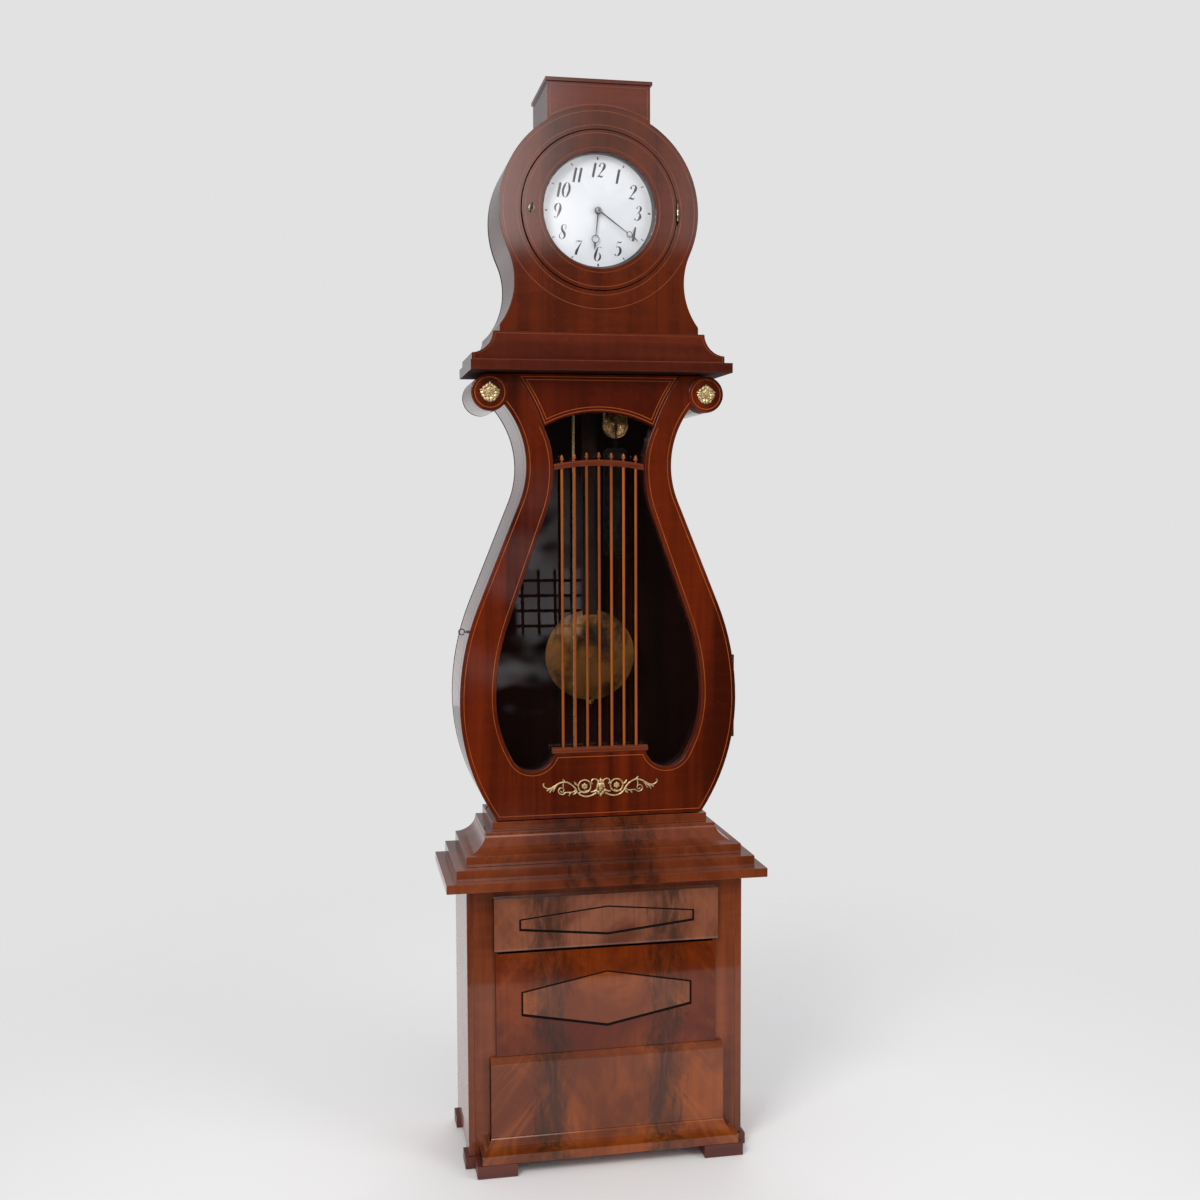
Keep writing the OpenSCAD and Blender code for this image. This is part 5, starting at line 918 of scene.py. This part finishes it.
DIGITS["9"] = [[(.60 - x, 1 - up, radius) for x, up, radius in stroke] for stroke in DIGITS["6"]]
print("digits drawn with", sum(len(strokes) for strokes in DIGITS.values()), "strokes")

# %% Numerals and ticks
TALL, WIDE, LEAN, NUMERAL_R, TICK_R = 31, 25, 0.20, 88.5, 112.8
DIAL_Z, DIAL_FACE = 2055.9, 184.1
PEN, THINNED, HAIRLINE = 1.6, 0.014, 0.3      # how boldly the strokes are written


def number_strokes(number):
    angle = math.radians(30 * number)
    middle_x, middle_z = NUMERAL_R * math.sin(angle), NUMERAL_R * math.cos(angle)
    text = str(number)
    gap = 0.62 if text[-1] != "1" else 0.46
    strokes = []
    for i, digit in enumerate(text):
        shift = -0.30 + (i - (len(text) - 1) / 2) * gap
        for stroke in DIGITS[digit]:
            strokes.append([(middle_x + (x + shift) * WIDE + (up - 0.5) * LEAN * TALL,
                             middle_z + (up - 0.5) * TALL,
                             max((radius - THINNED) * TALL * PEN, HAIRLINE))
                            for x, up, radius in stroke])
    return strokes


printed = [stroke for number in range(1, 13) for stroke in number_strokes(number)]
dial_middle = spot(0, DIAL_FACE, DIAL_Z)
drawn("numerals", printed, dial_middle, 0.06, "case", ink, "dial_grey", fine=1, steps=5)
shape = bmesh.new()
for hour in range(12):
    wide, tall = (3.4, 5.6) if hour % 3 == 0 else (2.0, 6.0)
    turn = Matrix.Rotation(math.radians(30 * hour), 4, "Y")
    place = Matrix.Translation(dial_middle) @ turn @ Matrix.Translation((0, 0, TICK_R * MM))
    bmesh.ops.create_cube(shape, size=MM, matrix=place @ Matrix.Diagonal((wide, 0.2, tall, 1)))
from_shape("hour_ticks", shape, "case", ink, "dial_grey")
print("numerals and ticks done")

# %% [markdown]
# ## Gilt mounts
# The mounts are thin castings of brass, chased and gilded, and pinned to the wood. The long one is
# a stem that winds into two scrolls on each side, ends in a fan of three fingers, and grows out of
# a cluster of leaves in the middle. Only the right half is drawn and then mirrored. The rosettes
# on the scrolls have five broad petals over five pointed leaves.

# %% Helpers for round strokes
def around(x, up, reach, degrees):
    angle = math.radians(degrees)
    return x + reach * math.cos(angle), up + reach * math.sin(angle)


def spiral(x, up, start_r, end_r, first, turns, radius, count=14):
    parts = [i / count for i in range(count + 1)]
    return [(*around(x, up, start_r + (end_r - start_r) * part, first + 360 * turns * part),
             radius * (1 - 0.25 * part)) for part in parts]


def ring(x, up, reach, radius, count=12):
    spots = [(*around(x, up, reach, 360 * i / count), radius) for i in range(count)]
    return spots + [spots[0]]

# %% The long mount's stem and fingers
half = [
    ring(36, 3, 14, 1.5),
    [(10, -13, 2.4), (24, -19, 1.9), (38, -19, 1.8), (50, -12, 1.8), (57, -1, 1.8), (66, 8, 1.6),
     (78, 14, 1.8), (92, 12, 1.8), (104, 5, 2.2), (114, 1, 2), (123, 3, 1.6), (128, 9, 1.5),
     (126.5, 13, 1.9)],
    [(96, 10, 1.2), (102, 2, 2), (106, -6, 1.4)], [(100, 8, 1.2), (109, -1, 2.2), (114, -8, 1.5)],
    [(104, 6, 1.2), (115, -1, 2), (120, -4, 1.4)],
    [(55, -5, 1.8), (62, -9, 1.6), (70, -9, 1.4), (77, -9, 1.3)]
    + spiral(87, -4.5, 9.5, 2, 210, 1.4, 1.4),
    [(50, 5, 1), (56, 9, 2.2), (59, 14, 1)], [(52, -6, 1), (57, -12, 2), (62, -15, 1)],
    [(78, 13, 1), (82, 17, 1.8), (85, 21, 0.8)], [(66, -8, 1), (69, -13, 1.6), (71, -17, 0.7)],
    [(83, 12, 1), (84, 6, 1.4), (83, 1, 0.8)],
    [(5, 13, 1.6), (11, 18, 1.5), (18, 17, 1.4), (21, 11, 1.6), (18, 7, 1.3)],
    [(8, -4, 1.6), (15, -9, 1.8), (22, -10, 1.4)],
    [(30, -6, 1), (36, -9, 1.6), (44, -9, 1.2), (49, -13, 1)],
]
mirrored_half = [[(-x, up, radius) for x, up, radius in stroke] for stroke in half]
MOUNT_Z, MOUNT_FACE = 806.6, 192.2
heart = spot(0, MOUNT_FACE, MOUNT_Z)
drawn("gilt_scrollwork", half + mirrored_half, heart, 0.75, "trunk_door", gilding, "gilt",
      "gilt_mounts")
print("scrollwork strokes", 2 * len(half))

# %% Helpers for leaves and flowers
def blob(shape, middle, x, up, across, tall, turn=0.0, rise=1.2, out=0.0):
    """A flattened ball: one chased leaf or petal, turned about its middle in degrees."""
    place = Matrix.Translation(middle + Vector((x * MM, -out * MM, up * MM)))
    place = place @ Matrix.Rotation(math.radians(-turn), 4, "Y")
    bmesh.ops.create_icosphere(shape, subdivisions=2, radius=MM,
                               matrix=place @ Matrix.Diagonal((across, rise, tall, 1)))


def flower(shape, middle, x, up, reach, size, count, rise, out=0.0):
    for i in range(count):
        angle = 90 + 360 / count * i
        blob(shape, middle, *around(x, up, reach, angle), size * 0.82, size, 90 - angle, rise, out)

# %% Leaves and berries on the long mount
LEAVES = ((0, 1, 5, 11, 0), (-6.5, 4, 2.6, 7, -18), (6.5, 4, 2.6, 7, 18), (0, 14, 2.6, 5, 0),
          (-5, 13, 2, 4.6, -30), (5, 13, 2, 4.6, 30), (-10, -8, 4.4, 2.4, 25),
          (10, -8, 4.4, 2.4, -25), (-5, -12, 3, 4.6, 20), (5, -12, 3, 4.6, -20),
          (0, -17, 2.6, 4.6, 0), (0, 19, 1.6, 1.8, 0))     # x, up, across, tall, turn
BERRIES = ((-3.2, 5, 1.5), (3.2, 5, 1.5), (0, 9, 1.6), (0, -4, 2.2), (-3.4, -3, 1.4),
           (3.4, -3, 1.4))
shape = bmesh.new()
for side_x in (-36, 36):
    flower(shape, heart, side_x, 3, 4.4, 2.9, 6, rise=1.6)
    blob(shape, heart, side_x, 3, 2, 2, rise=2.4)
for leaf in LEAVES:
    blob(shape, heart, *leaf, rise=2.0)
for x, up, size in BERRIES:
    blob(shape, heart, x, up, size, size, rise=2.0, out=1.5)
print("leaves and berries", len(LEAVES) + len(BERRIES))

# %% Rosettes on the scrolls
SCROLL_X, SCROLL_Z, SCROLL_FACE = 238, 1668, 196.1
for side_x in (-SCROLL_X, SCROLL_X):
    centre = spot(side_x, SCROLL_FACE, SCROLL_Z)
    turned(shape, [(0, 1.2), (17, 1.2), (18.5, 0.6), (18.8, 0), (0, 0)], centre,
           axis=(0, -1, 0), steps=30)
    for petal in range(54, 360, 72):
        for angle in (petal - 13, petal + 13):
            blob(shape, centre, *around(0, 0, 14.6, angle), 4.6, 6.6, 90 - angle, rise=2.0, out=0.8)
        leaf = petal - 36
        blob(shape, centre, *around(0, 0, 18, leaf), 1.9, 5.2, 90 - leaf, rise=1.6)
        blob(shape, centre, *around(0, 0, 9, leaf), 1.7, 4.0, 90 - leaf, rise=2.4, out=1.4)
    flower(shape, centre, 0, 0, 5.4, 1.5, 9, rise=1.5, out=2.6)
    blob(shape, centre, 0, 0, 3.2, 3.2, rise=2.2, out=2.4)
bmesh.ops.recalc_face_normals(shape, faces=shape.faces)
from_shape("gilt_leaves_and_rosettes", shape, "trunk_door", gilding, "gilt", "gilt_mounts",
           crisp=60)
print("rosettes at", SCROLL_X, SCROLL_Z)
